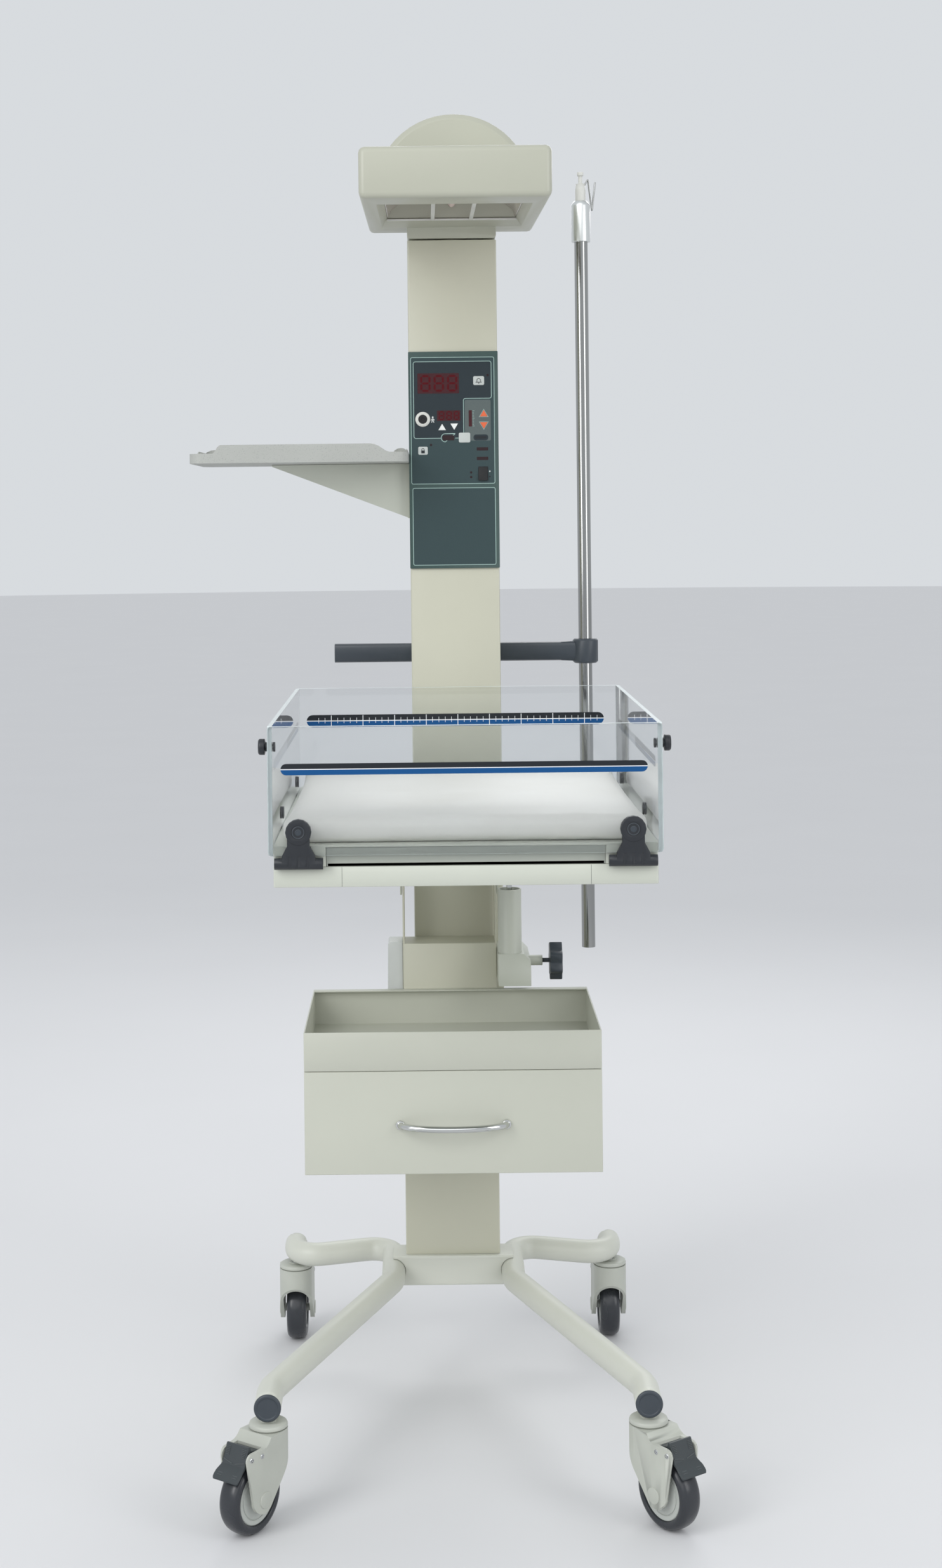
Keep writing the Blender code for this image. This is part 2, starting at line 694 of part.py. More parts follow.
def castor_wheel():
    """Hub disc with its ring groove, tyre with a rounded tread, and the axle."""
    half = WHEEL_WIDTH / 2
    face = half - HUB_RECESS
    axle_end = FORK_WIDTH / 2 - FORK_LEG - SEAT_GAP
    half_profile = [(0, axle_end), (AXLE_RADIUS, axle_end), (AXLE_RADIUS, face),
                    (HUB_GROOVE_RADIUS, face),
                    (HUB_GROOVE_RADIUS, face - HUB_GROOVE_WIDTH),
                    (HUB_GROOVE_RADIUS + HUB_GROOVE_WIDTH, face - HUB_GROOVE_WIDTH),
                    (HUB_GROOVE_RADIUS + HUB_GROOVE_WIDTH, face),
                    (HUB_RADIUS, face + HUB_GROOVE_WIDTH),
                    (HUB_RADIUS + HUB_GROOVE_WIDTH, half)]
    tread = WHEEL_RADIUS - HUB_RADIUS - HUB_GROOVE_WIDTH
    for share in (0.35, 0.70, 0.92):
        half_profile.append((HUB_RADIUS + HUB_GROOVE_WIDTH + tread * share,
                             half * math.sqrt(1 - share ** 3)))
    half_profile.append((WHEEL_RADIUS, half * 0.2))
    profile = half_profile + [(radius, -height) for radius, height in reversed(half_profile)]
    return lathe(profile, WHEEL_STEPS, "x")


def brake_pedal():
    """The two-lobed foot pedal, whose barrel turns between the cheeks of the fork."""
    outline_shares = [(0.10, 0.40), (0.20, 1.0), (0.32, 1.0), (0.42, 0.45), (0.66, -0.25),
                      (0.97, -0.55), (1.0, -0.95), (0.93, -1.15), (0.66, -0.85),
                      (0.45, -0.60), (0.22, -0.42), (0.0, -0.42), (0.0, 0.40)]
    outline = [(-across * PEDAL_REACH, up * PEDAL_RISE) for across, up in outline_shares]
    body = prism(outline, "x", -PEDAL_WIDTH / 2, PEDAL_WIDTH / 2)
    barrel = rod(PEDAL_BARREL_RADIUS, -PEDAL_WIDTH / 2, PEDAL_WIDTH / 2, SMALL_STEPS, "x")
    notch = block((-PEDAL_NOTCH_WIDTH / 2, -PEDAL_REACH - OVERRUN, -2 * PEDAL_RISE),
                  (PEDAL_NOTCH_WIDTH / 2, PEDAL_NOTCH_DEPTH - PEDAL_REACH, PEDAL_RISE),
                  "z", PEDAL_NOTCH_DEPTH / 2)
    return carve(weld(body, barrel), notch)


def build_castors():
    fork = castor_fork()
    wheel = castor_wheel()
    pedal = brake_pedal()
    for side, side_word in ((-1, "left"), (1, "right")):
        for row, row_word in ((FRONT_STEM_Y, "front"), (REAR_STEM_Y, "rear")):
            word = row_word + "_" + side_word
            turn = side * FRONT_CASTOR_TURN if row_word == "front" else REAR_CASTOR_TURN
            stem = Vector((BASE_MIDDLE_X + side * LEG_END_OFFSET, row, 0))
            heading = Matrix.Rotation(turn, 3, "Z")
            swivel = joint("castor_swivel_" + word, stem, "warmer")
            axle_place = stem + heading @ Vector((0, -TRAIL, WHEEL_RADIUS))
            axle = joint("castor_axle_" + word, axle_place, swivel)
            piece("castor_fork_" + word, fork.copy(), swivel, "moulded_white", True, turn)
            piece("castor_wheel_" + word, wheel.copy(), axle, "tyre_rubber", True, turn)
            if row_word == "front":
                hinge_place = stem + heading @ Vector((0, PEDAL_HINGE_Y, PEDAL_HINGE_Z))
                hinge = joint("pedal_hinge_" + side_word, hinge_place, swivel)
                piece("brake_pedal_" + side_word, pedal.copy(), hinge, "slate_plastic",
                      True, turn)


# Columns

def lower_column():
    """The pedestal, whose side walls rise as two ears that carry the tilt pivot."""
    left = BASE_MIDDLE_X - LOWER_WIDTH / 2
    right = BASE_MIDDLE_X + LOWER_WIDTH / 2
    bottom = TUBE_HEIGHT + CROSS_HEIGHT / 2 + SEAT_GAP
    rear = LOWER_FRONT_Y + LOWER_DEPTH
    body = block((left, LOWER_FRONT_Y, bottom), (right, rear, LOWER_TOP), "z", LOWER_EDGE)
    ear_middle = PIVOT_Y
    half = EAR_DEPTH / 2
    outline = [(ear_middle - half, LOWER_TOP - EAR_DEPTH), (ear_middle + half, LOWER_TOP - EAR_DEPTH)]
    outline += arc((ear_middle, EAR_TOP - half), half, 0, 180, 8)
    ears = [prism(outline, "x", left, left + EAR_THICKNESS),
            prism(outline, "x", right - EAR_THICKNESS, right)]
    body = weld(body, *ears)
    bore = rod(PIVOT_RADIUS + SEAT_GAP, left - OVERRUN, right + OVERRUN, ROUND_STEPS, "x",
               (0, PIVOT_Y, PIVOT_Z))
    return carve(body, bore)


def upper_column():
    """The tall column with the neck that the hood turns on."""
    half = UPPER_WIDTH / 2
    body = block((-half, 0, UPPER_BOTTOM), (half, UPPER_DEPTH, UPPER_TOP), "z", UPPER_EDGE)
    neck = rod(NECK_RADIUS, UPPER_TOP - OVERRUN, UPPER_TOP + NECK_HEIGHT, ROUND_STEPS, "z",
               (0, UPPER_DEPTH / 2, 0))
    return weld(body, neck)


def mains_box():
    """The mains box with its inlet, hung on the left of the lower column."""
    right = BASE_MIDDLE_X - LOWER_WIDTH / 2 - SEAT_GAP
    left = right - MAINS_WIDTH
    front = LOWER_FRONT_Y + MAINS_FRONT_SETBACK
    rear = front + MAINS_DEPTH
    outline = [(left - MAINS_TAPER, MAINS_BOTTOM), (right, MAINS_BOTTOM), (right, MAINS_TOP),
               (left + MAINS_EDGE, MAINS_TOP), (left, MAINS_TOP - MAINS_EDGE)]
    body = prism(outline, "y", front, rear)
    middle = (front + rear) / 2
    inlet = block((left + MAINS_WIDTH / 2 - MAINS_INLET_WIDTH / 2 + MAINS_EDGE,
                   middle - MAINS_INLET_HEIGHT / 2, MAINS_BOTTOM - OVERRUN),
                  (right - MAINS_EDGE, middle + MAINS_INLET_HEIGHT / 2,
                   MAINS_BOTTOM + MAINS_INLET_DEPTH))
    return carve(body, inlet)


def build_columns():
    piece("lower_column", lower_column(), "warmer", "painted_steel")
    piece("upper_column", upper_column(), "warmer", "painted_steel")
    piece("mains_box", mains_box(), "warmer", "moulded_white")


# Tilt strut

def tilt_strut():
    """The strut tube on its sloped housing, with the stub that the clamp screw enters."""
    left = BASE_MIDDLE_X + LOWER_WIDTH / 2 + SEAT_GAP
    side_outline = [(GEARBOX_FRONT_Y, GEARBOX_BOTTOM), (GEARBOX_REAR_Y, GEARBOX_BOTTOM),
                    (GEARBOX_REAR_Y, GEARBOX_TOP), (GEARBOX_FRONT_Y + GEARBOX_SLOPE, GEARBOX_TOP),
                    (GEARBOX_FRONT_Y, GEARBOX_SHOULDER)]
    body = prism(side_outline, "x", left, GEARBOX_RIGHT_X)
    bevel_outline = [(GEARBOX_RIGHT_X - GEARBOX_SIDE_BEVEL, GEARBOX_TOP + OVERRUN),
                     (GEARBOX_RIGHT_X - GEARBOX_SIDE_BEVEL, GEARBOX_TOP),
                     (GEARBOX_RIGHT_X, GEARBOX_TOP - GEARBOX_SIDE_BEVEL),
                     (GEARBOX_RIGHT_X + OVERRUN, GEARBOX_TOP - GEARBOX_SIDE_BEVEL),
                     (GEARBOX_RIGHT_X + OVERRUN, GEARBOX_TOP + OVERRUN)]
    bevel = prism(bevel_outline, "y", GEARBOX_FRONT_Y - OVERRUN, GEARBOX_REAR_Y + OVERRUN)
    body = carve(body, bevel)
    tube = rod(STRUT_RADIUS, GEARBOX_SHOULDER, STRUT_TOP, ROUND_STEPS, "z", (STRUT_X, STRUT_Y, 0))
    stub = rod(CLAMP_STUB_RADIUS, STRUT_X, CLAMP_STUB_END_X, SMALL_STEPS, "x",
               (0, STRUT_Y, CLAMP_Z))
    body = weld(body, tube, stub)
    bore = rod(STRUT_BORE, STRUT_FLOOR, STRUT_TOP + OVERRUN, ROUND_STEPS, "z",
               (STRUT_X, STRUT_Y, 0))
    screw_start = CLAMP_KNOB_X - CLAMP_SCREW_DEPTH - SEAT_GAP
    screw_bore = rod(CLAMP_SCREW_RADIUS + SEAT_GAP, screw_start, CLAMP_STUB_END_X + OVERRUN,
                     SMALL_STEPS, "x", (0, STRUT_Y, CLAMP_Z))
    return carve(body, bore, screw_bore)


def strut_rod():
    """The rod that rises with the bassinet, guided by its foot in the strut tube."""
    lug_bottom = FRAME_BOTTOM
    guide = STRUT_BORE - SEAT_GAP
    low = STRUT_FLOOR + STRUT_ROD_FOOT + OVERRUN
    profile = [(0, low), (guide, low), (guide, low + STRUT_ROD_FOOT),
               (STRUT_ROD_RADIUS, low + STRUT_ROD_FOOT),
               (STRUT_ROD_RADIUS, lug_bottom - STRUT_ROD_CLEARANCE),
               (0, lug_bottom - STRUT_ROD_CLEARANCE)]
    return lathe(profile, ROUND_STEPS, "z", (STRUT_X, STRUT_Y, 0))


def clamp_knob():
    """The star knob on its screw."""
    points = []
    count = CLAMP_LOBES * 6
    for index in range(count):
        angle = 2 * math.pi * index / count
        wave = 1 - CLAMP_LOBE_SHARE + CLAMP_LOBE_SHARE * math.cos(CLAMP_LOBES * angle)
        points.append((STRUT_Y + CLAMP_KNOB_RADIUS * wave * math.cos(angle),
                       CLAMP_Z + CLAMP_KNOB_RADIUS * wave * math.sin(angle)))
    star = prism(points, "x", CLAMP_KNOB_X, CLAMP_KNOB_X + CLAMP_KNOB_THICKNESS)
    screw = rod(CLAMP_SCREW_RADIUS, CLAMP_KNOB_X - CLAMP_SCREW_DEPTH,
                CLAMP_KNOB_X + OVERRUN, SMALL_STEPS, "x", (0, STRUT_Y, CLAMP_Z))
    return weld(star, screw)


def build_tilt_strut():
    piece("tilt_strut", tilt_strut(), "warmer", "painted_steel")
    joint("strut_slide", (STRUT_X, STRUT_Y, STRUT_TOP), "warmer")
    piece("strut_rod", strut_rod(), "strut_slide", "chrome")
    joint("clamp_axis", (CLAMP_KNOB_X, STRUT_Y, CLAMP_Z), "warmer")
    piece("clamp_knob", clamp_knob(), "clamp_axis", "slate_plastic")


# Drawer unit

def drawer_case():
    """The sheet-metal case with a tray on top and an open front for the drawer."""
    half = CASE_WIDTH / 2
    left, right = BASE_MIDDLE_X - half, BASE_MIDDLE_X + half
    rear = LOWER_FRONT_Y - SEAT_GAP
    body = block((left, CASE_FRONT_Y, CASE_BOTTOM), (right, rear, CASE_TOP), "z", CASE_EDGE)
    tray = block((left + CASE_SHEET, CASE_FRONT_Y + CASE_SHEET, CASE_SPLIT + CASE_TRAY_FLOOR / 2),
                 (right - CASE_SHEET, rear - CASE_SHEET, CASE_TOP + OVERRUN))
    inside = block((left + CASE_SHEET, CASE_FRONT_Y - OVERRUN, CASE_BOTTOM + CASE_SHEET),
                   (right - CASE_SHEET, rear - CASE_SHEET, CASE_SPLIT - CASE_TRAY_FLOOR / 2))
    front_room = block((left - OVERRUN, CASE_FRONT_Y - OVERRUN, CASE_BOTTOM - OVERRUN),
                       (right + OVERRUN, CASE_FRONT_Y + DRAWER_FRONT_THICKNESS + SEAT_GAP,
                        CASE_SPLIT))
    body = carve(body, tray, inside, front_room)
    lip = block((left + CASE_SHEET / 2, rear - CASE_SHEET - CASE_LIP_DEPTH, CASE_TOP - CASE_SHEET),
                (right - CASE_SHEET / 2, rear - CASE_SHEET / 2, CASE_TOP))
    return weld(body, lip)


def drawer_body():
    """The drawer: a front plate in line with the case and an open tub behind it."""
    half = CASE_WIDTH / 2
    tub_half = half - CASE_SHEET - DRAWER_SIDE_GAP
    left, right = BASE_MIDDLE_X - tub_half, BASE_MIDDLE_X + tub_half
    rear = LOWER_FRONT_Y - SEAT_GAP - CASE_SHEET - DRAWER_BACK_GAP
    floor = CASE_BOTTOM + CASE_SHEET + SEAT_GAP
    rim = CASE_SPLIT - CASE_TRAY_FLOOR / 2 - DRAWER_HEADROOM
    back_of_front = CASE_FRONT_Y + DRAWER_FRONT_THICKNESS
    plate = block((BASE_MIDDLE_X - half, CASE_FRONT_Y, CASE_BOTTOM),
                  (BASE_MIDDLE_X + half, back_of_front, CASE_SPLIT - DRAWER_FRONT_GAP),
                  "xz", CASE_EDGE)
    tub = block((left, back_of_front - CASE_EDGE, floor), (right, rear, rim))
    body = weld(plate, tub)
    room = block((left + DRAWER_WALL, back_of_front + DRAWER_WALL, floor + DRAWER_WALL),
                 (right - DRAWER_WALL, rear - DRAWER_WALL, rim + OVERRUN))
    return carve(body, room)


def drawer_handle():
    """A bow handle of round bar on two small feet."""
    points = []
    face = CASE_FRONT_Y - SEAT_GAP
    count = 16
    for index in range(count + 1):
        angle = math.pi * index / count
        points.append((BASE_MIDDLE_X - HANDLE_HALF_WIDTH * math.cos(angle),
                       face - HANDLE_FOOT_LENGTH / 2 - HANDLE_BOW * math.sin(angle), HANDLE_Z))
    bar = sweep(points, HANDLE_RADIUS, SMALL_STEPS)
    feet = [rod(HANDLE_FOOT_RADIUS, face - HANDLE_FOOT_LENGTH, face, SMALL_STEPS, "y",
                (BASE_MIDDLE_X + side * HANDLE_HALF_WIDTH, 0, HANDLE_Z)) for side in (-1, 1)]
    return weld(bar, *feet)


def build_drawer_unit():
    piece("drawer_case", drawer_case(), "warmer", "painted_steel")
    joint("drawer_slide", (BASE_MIDDLE_X, CASE_FRONT_Y, CASE_BOTTOM), "warmer")
    piece("drawer", drawer_body(), "drawer_slide", "painted_steel")
    piece("drawer_handle", drawer_handle(), "drawer_slide", "chrome")


# Shelf

def instrument_shelf():
    """A moulded tray whose rim dips near each corner to leave a round lobe."""
    right = -UPPER_WIDTH / 2 - RUNNING_GAP
    rear = SHELF_FRONT_Y + SHELF_DEPTH
    top = SHELF_BOTTOM + SHELF_HEIGHT
    body = block((SHELF_LEFT_X, SHELF_FRONT_Y, SHELF_BOTTOM), (right, rear, top), "z",
                 SHELF_CORNER, 4)
    room = block((SHELF_LEFT_X + SHELF_WALL, SHELF_FRONT_Y + SHELF_WALL,
                  SHELF_BOTTOM + SHELF_WALL),
                 (right - SHELF_WALL, rear - SHELF_WALL, top + OVERRUN), "z",
                 SHELF_CORNER - SHELF_WALL, 4)
    notches = [rod(SHELF_NOTCH_RADIUS, SHELF_FRONT_Y - OVERRUN, rear + OVERRUN, ROUND_STEPS, "y",
                   (place, 0, top)) for place in (SHELF_LEFT_X + SHELF_NOTCH_OFFSET,
                                                  right - SHELF_NOTCH_OFFSET)]
    return carve(body, room, *notches)


def shelf_bracket():
    """A folded bracket: two gusset plates, a column flange and a shelf flange."""
    right = -UPPER_WIDTH / 2 - SEAT_GAP
    top = SHELF_BOTTOM - SEAT_GAP
    bottom = top - BRACKET_HEIGHT
    rear = BRACKET_FRONT_Y + BRACKET_DEPTH
    gusset = [(BRACKET_LEFT_X, top), (right, top), (right, bottom),
              (BRACKET_LEFT_X, top - BRACKET_SHEET)]
    front_plate = prism(gusset, "y", BRACKET_FRONT_Y, BRACKET_FRONT_Y + BRACKET_SHEET)
    rear_plate = prism(gusset, "y", rear - BRACKET_SHEET, rear)
    column_flange = block((right - BRACKET_SHEET, BRACKET_FRONT_Y, bottom), (right, rear, top))
    shelf_flange = block((BRACKET_LEFT_X, BRACKET_FRONT_Y, top - BRACKET_SHEET),
                         (right, rear, top))
    return weld(front_plate, column_flange, shelf_flange, rear_plate)


def build_shelf():
    piece("instrument_shelf", instrument_shelf(), "warmer", "moulded_white")
    piece("shelf_bracket", shelf_bracket(), "warmer", "painted_steel")


# Rail and pole

def pole_middle_y():
    return UPPER_DEPTH + SEAT_GAP + RAIL_DEPTH / 2


def accessory_rail():
    """The rail bar behind the column, ending in the collar that holds the pole."""
    middle_y = pole_middle_y()
    section = round_rectangle(RAIL_DEPTH / 2, RAIL_HEIGHT / 2, RAIL_CORNER, 2,
                              (middle_y, RAIL_Z))
    bar = prism(section, "x", RAIL_LEFT_X, POLE_X)
    low, high = RAIL_Z - COLLAR_HEIGHT / 2, RAIL_Z + COLLAR_HEIGHT / 2
    collar = lathe([(0, low), (COLLAR_RADIUS - COLLAR_EDGE, low),
                    (COLLAR_RADIUS, low + COLLAR_EDGE), (COLLAR_RADIUS, high - COLLAR_EDGE),
                    (COLLAR_RADIUS - COLLAR_EDGE, high), (0, high)], ROUND_STEPS, "z",
                   (POLE_X, middle_y, 0))
    flare_left = POLE_X - COLLAR_RADIUS - COLLAR_FLARE
    flare_outline = [(flare_left, RAIL_Z - RAIL_HEIGHT / 2), (POLE_X, low + COLLAR_EDGE),
                     (POLE_X, high - COLLAR_EDGE), (flare_left, RAIL_Z + RAIL_HEIGHT / 2)]
    flare = prism(flare_outline, "y", middle_y - RAIL_DEPTH / 2 + RAIL_CORNER / 2,
                  middle_y + RAIL_DEPTH / 2 - RAIL_CORNER / 2)
    body = weld(bar, flare, collar)
    bore = rod(POLE_RADIUS + SEAT_GAP, low - OVERRUN, high + OVERRUN, ROUND_STEPS, "z",
               (POLE_X, middle_y, 0))
    return carve(body, bore)


def infusion_pole():
    """The outer tube with its clamping sleeve, bored for the extension."""
    bore = EXTENSION_RADIUS + SEAT_GAP
    profile = [(0, POLE_BOTTOM), (POLE_RADIUS, POLE_BOTTOM), (POLE_RADIUS, POLE_SLEEVE_BOTTOM),
               (POLE_SLEEVE_RADIUS, POLE_SLEEVE_BOTTOM),
               (POLE_SLEEVE_RADIUS, POLE_SLEEVE_SHOULDER), (POLE_MOUTH_RADIUS, POLE_TOP),
               (bore, POLE_TOP), (bore, POLE_BORE_BOTTOM), (0, POLE_BORE_BOTTOM)]
    return lathe(profile, ROUND_STEPS, "z", (POLE_X, pole_middle_y(), 0))


def pole_extension():
    """The inner rod with its threaded stud and nut."""
    nut_bottom = STUD_TOP - STUD_NUT_HEIGHT
    profile = [(0, EXTENSION_BOTTOM), (EXTENSION_RADIUS, EXTENSION_BOTTOM),
               (EXTENSION_RADIUS, EXTENSION_TOP), (STUD_RADIUS, EXTENSION_TOP),
               (STUD_RADIUS, nut_bottom), (STUD_NUT_RADIUS, nut_bottom),
               (STUD_NUT_RADIUS, STUD_TOP), (0, STUD_TOP)]
    return lathe(profile, ROUND_STEPS, "z", (POLE_X, pole_middle_y(), 0))


def infusion_hook():
    """A wire hook on a ring that turns on the stud."""
    middle = Vector((POLE_X, pole_middle_y(), 0))
    ring_low = EXTENSION_TOP + SEAT_GAP
    ring_high = ring_low + HOOK_RING_HEIGHT
    bore = STUD_RADIUS + SEAT_GAP
    ring = lathe([(bore, ring_low), (HOOK_RING_RADIUS, ring_low),
                  (HOOK_RING_RADIUS, ring_high), (bore, ring_high)], SMALL_STEPS, "z", middle)
    level = (ring_low + ring_high) / 2
    peak = ring_high + HOOK_WIRE_RADIUS
    corners = [middle + Vector((bore + HOOK_WIRE_RADIUS, 0, level)),
               middle + Vector((HOOK_PEAK_X, 0, peak)),
               middle + Vector((HOOK_VALLEY_X, 0, peak - HOOK_DROP)),
               middle + Vector((HOOK_TIP_X, 0, peak))]
    route = filleted(corners, [HOOK_WIRE_RADIUS * 1.5, HOOK_WIRE_RADIUS * 1.2], 4)
    return weld(ring, sweep(route, HOOK_WIRE_RADIUS, 8))


def build_rail_and_pole():
    middle_y = pole_middle_y()
    piece("accessory_rail", accessory_rail(), "warmer", "slate_plastic")
    piece("infusion_pole", infusion_pole(), "warmer", "chrome")
    joint("extension_slide", (POLE_X, middle_y, POLE_TOP), "warmer")
    piece("pole_extension", pole_extension(), "extension_slide", "moulded_white")
    joint("hook_swivel", (POLE_X, middle_y, EXTENSION_TOP), "extension_slide")
    piece("infusion_hook", infusion_hook(), "hook_swivel", "chrome")


# Control panel

def console_point(place):
    """World x and z of a place given from the panel's middle and its top edge."""
    return place[0], CONSOLE_TOP - place[1]


def key_outline(place, width, height, grow=0.0):
    x, z = console_point(place)
    return round_rectangle(width / 2 + grow, height / 2 + grow, KEY_CORNER + grow, 2, (x, z))


def arrow_outline(place, upward, grow=0.0):
    """A triangle key. Growing it moves each side out by the same distance."""
    x, z = console_point(place)
    points = [Vector((-ARROW_WIDTH / 2, -ARROW_HEIGHT / 2)),
              Vector((ARROW_WIDTH / 2, -ARROW_HEIGHT / 2)), Vector((0, ARROW_HEIGHT / 2))]
    slant = math.hypot(ARROW_WIDTH / 2, ARROW_HEIGHT)
    perimeter = ARROW_WIDTH + 2 * slant
    inner_radius = ARROW_WIDTH * ARROW_HEIGHT / perimeter
    middle = Vector((0, inner_radius - ARROW_HEIGHT / 2))
    scale = (inner_radius + grow) / inner_radius
    flip = 1 if upward else -1
    return [(x + (middle + (point - middle) * scale).x,
             z + flip * (middle + (point - middle) * scale).y) for point in points]


def console_keys():
    """Name, outline maker, finish of each key."""
    def plain(data):
        return lambda grow=0.0: key_outline(data[:2], data[2], data[3], grow)

    def arrow(place, upward):
        return lambda grow=0.0: arrow_outline(place, upward, grow)

    return [("mute_key", plain(MUTE_KEY), "key_grey"),
            ("lock_key", plain(LOCK_KEY), "key_grey"),
            ("mode_key", plain(MODE_KEY), "key_grey"),
            ("set_up_key", arrow(SET_UP_KEY, True), "key_white"),
            ("set_down_key", arrow(SET_DOWN_KEY, False), "key_white"),
            ("output_up_key", arrow(OUTPUT_UP_KEY, True), "key_orange"),
            ("output_down_key", arrow(OUTPUT_DOWN_KEY, False), "key_orange")]


def control_panel():
    """The panel plate with a pocket for each key and for the rocker switch."""
    front = -SEAT_GAP - CONSOLE_THICKNESS
    body = block((-CONSOLE_HALF_WIDTH, front, CONSOLE_BOTTOM),
                 (CONSOLE_HALF_WIDTH, -SEAT_GAP, CONSOLE_TOP), "y", CONSOLE_EDGE)
    pockets = [prism(outline(SEAT_GAP), "y", front - OVERRUN, front + KEY_POCKET_DEPTH)
               for _, outline, _ in console_keys()]
    x, z = console_point(ROCKER_PLACE)
    pockets.append(block((x - ROCKER_WIDTH / 2, front - OVERRUN, z - ROCKER_HEIGHT / 2),
                         (x + ROCKER_WIDTH / 2, front + KEY_POCKET_DEPTH,
                          z + ROCKER_HEIGHT / 2)))
    return carve(body, *pockets)


def rocker_switch():
    """The rocker, with one half pressed in at rest."""
    x, z = console_point(ROCKER_PLACE)
    front = -SEAT_GAP - CONSOLE_THICKNESS
    half = ROCKER_HEIGHT / 2 - ROCKER_SIDE_GAP
    back = front + KEY_POCKET_DEPTH / 2
    outline = [(back, z - half), (back, z + half), (front - KEY_STAND, z + half),
               (front - ROCKER_PROUD / 2, z), (front - ROCKER_PROUD, z - half)]
    return prism(outline, "x", x - ROCKER_WIDTH / 2 + ROCKER_SIDE_GAP,
                 x + ROCKER_WIDTH / 2 - ROCKER_SIDE_GAP)


def build_console():
    front = -SEAT_GAP - CONSOLE_THICKNESS
    piece("control_panel", control_panel(), "warmer", "console_face")
    for name, outline, finish in console_keys():
        points = outline()
        middle_x = sum(point[0] for point in points) / len(points)
        middle_z = sum(point[1] for point in points) / len(points)
        joint(name + "_travel", (middle_x, front, middle_z), "warmer")
        back = front + KEY_POCKET_DEPTH - KEY_TRAVEL - SEAT_GAP
        piece(name, prism(points, "y", front - KEY_STAND, back), name + "_travel", finish)
    x, z = console_point(ROCKER_PLACE)
    joint("rocker_axis", (x, front, z), "warmer")
    piece("rocker_switch", rocker_switch(), "rocker_axis", "switch_black")


# Hood

def hood_place(mesh):
    """Tilt a mesh made in the hood's frame and set it on the column."""
    mesh.transform(Matrix.Translation((0, HOOD_FRONT_Y, HOOD_FRONT_Z))
                   @ Matrix.Rotation(HOOD_PITCH, 4, "X"))
    return mesh


def hood_underside(y):
    """Height of the hood's underside at a depth behind the column's front face."""
    return HOOD_FRONT_Z + (y - HOOD_FRONT_Y) * math.tan(HOOD_PITCH)


def funnel(half_widths, fronts, rears, levels):
    """A four-sided funnel through two or more rectangles at rising levels."""
    bm = bmesh.new()
    rings = []
    for half, front, rear, level in zip(half_widths, fronts, rears, levels):
        rings.append([bm.verts.new(place) for place in
                      ((-half, front, level), (half, front, level),
                       (half, rear, level), (-half, rear, level))])
    bm.faces.new(rings[0])
    bm.faces.new(rings[-1])
    for lower, upper in zip(rings, rings[1:]):
        for index in range(4):
            after = (index + 1) % 4
            bm.faces.new((lower[index], lower[after], upper[after], upper[index]))
    return mesh_of(bm)


def cavity_bounds():
    """Half width, front and rear of the space above the recess."""
    return (RECESS_HALF_WIDTH - RECESS_SIDE_SLOPE, RECESS_FRONT + RECESS_SIDE_SLOPE,
            RECESS_REAR - RECESS_END_SLOPE)


def hood_shell():
    """The hood with its sloped recess, the cavity over it and the swivel block."""
    body = block((-HOOD_HALF_WIDTH, 0, 0), (HOOD_HALF_WIDTH, HOOD_LENGTH, HOOD_HEIGHT),
                 "xyz", HOOD_EDGE, 3)
    half, front, rear = cavity_bounds()
    room = funnel((RECESS_HALF_WIDTH + RECESS_SIDE_SLOPE * OVERRUN / RECESS_DEPTH,
                   half, half),
                  (RECESS_FRONT - RECESS_SIDE_SLOPE * OVERRUN / RECESS_DEPTH, front, front),
                  (RECESS_REAR + RECESS_END_SLOPE * OVERRUN / RECESS_DEPTH, rear, rear),
                  (-OVERRUN, RECESS_DEPTH, CAVITY_HEIGHT))
    shell = hood_place(carve(body, room))
    half_block = UPPER_WIDTH / 2
    bottom = UPPER_TOP + HOOD_SWIVEL_GAP
    outline = arc((half_block - BLOCK_CORNER, bottom + BLOCK_CORNER), BLOCK_CORNER, 0, -90, 3)
    outline += arc((-half_block + BLOCK_CORNER, bottom + BLOCK_CORNER), BLOCK_CORNER,
                   -90, -180, 3)
    top = hood_underside(UPPER_DEPTH) + HOOD_EDGE
    outline += [(-half_block, top), (half_block, top)]
    swivel_block = prism(outline, "y", 0, UPPER_DEPTH)
    flat_side = math.cos(math.pi / ROUND_STEPS)
    bore = rod((NECK_RADIUS + SEAT_GAP) / flat_side, bottom - OVERRUN,
               UPPER_TOP + NECK_HEIGHT + SEAT_GAP, ROUND_STEPS, "z", (0, UPPER_DEPTH / 2, 0))
    return carve(weld(shell, swivel_block), bore)


def hood_drum():
    """The half-round cover on top, with a chamfered rim at both ends."""
    bm = bmesh.new()
    centre = HOOD_HEIGHT + SEAT_GAP + DRUM_SEGMENT - DRUM_RADIUS
    rings = []
    ends = ((DRUM_FRONT, DRUM_CHAMFER), (DRUM_FRONT + DRUM_CHAMFER, 0.0),
            (DRUM_FRONT + DRUM_LENGTH - DRUM_CHAMFER, 0.0),
            (DRUM_FRONT + DRUM_LENGTH, DRUM_CHAMFER))
    for depth, inset in ends:
        radius = DRUM_RADIUS - inset
        start = math.degrees(math.asin((HOOD_HEIGHT + SEAT_GAP - centre) / radius))
        points = arc((0, centre), radius, start, 180 - start, 20)
        rings.append([bm.verts.new((x, depth, z)) for x, z in points])
    bm.faces.new(rings[0])
    bm.faces.new(rings[-1])
    for lower, upper in zip(rings, rings[1:]):
        for index in range(len(lower)):
            after = (index + 1) % len(lower)
            bm.faces.new((lower[index], lower[after], upper[after], upper[index]))
    return hood_place(mesh_of(bm))


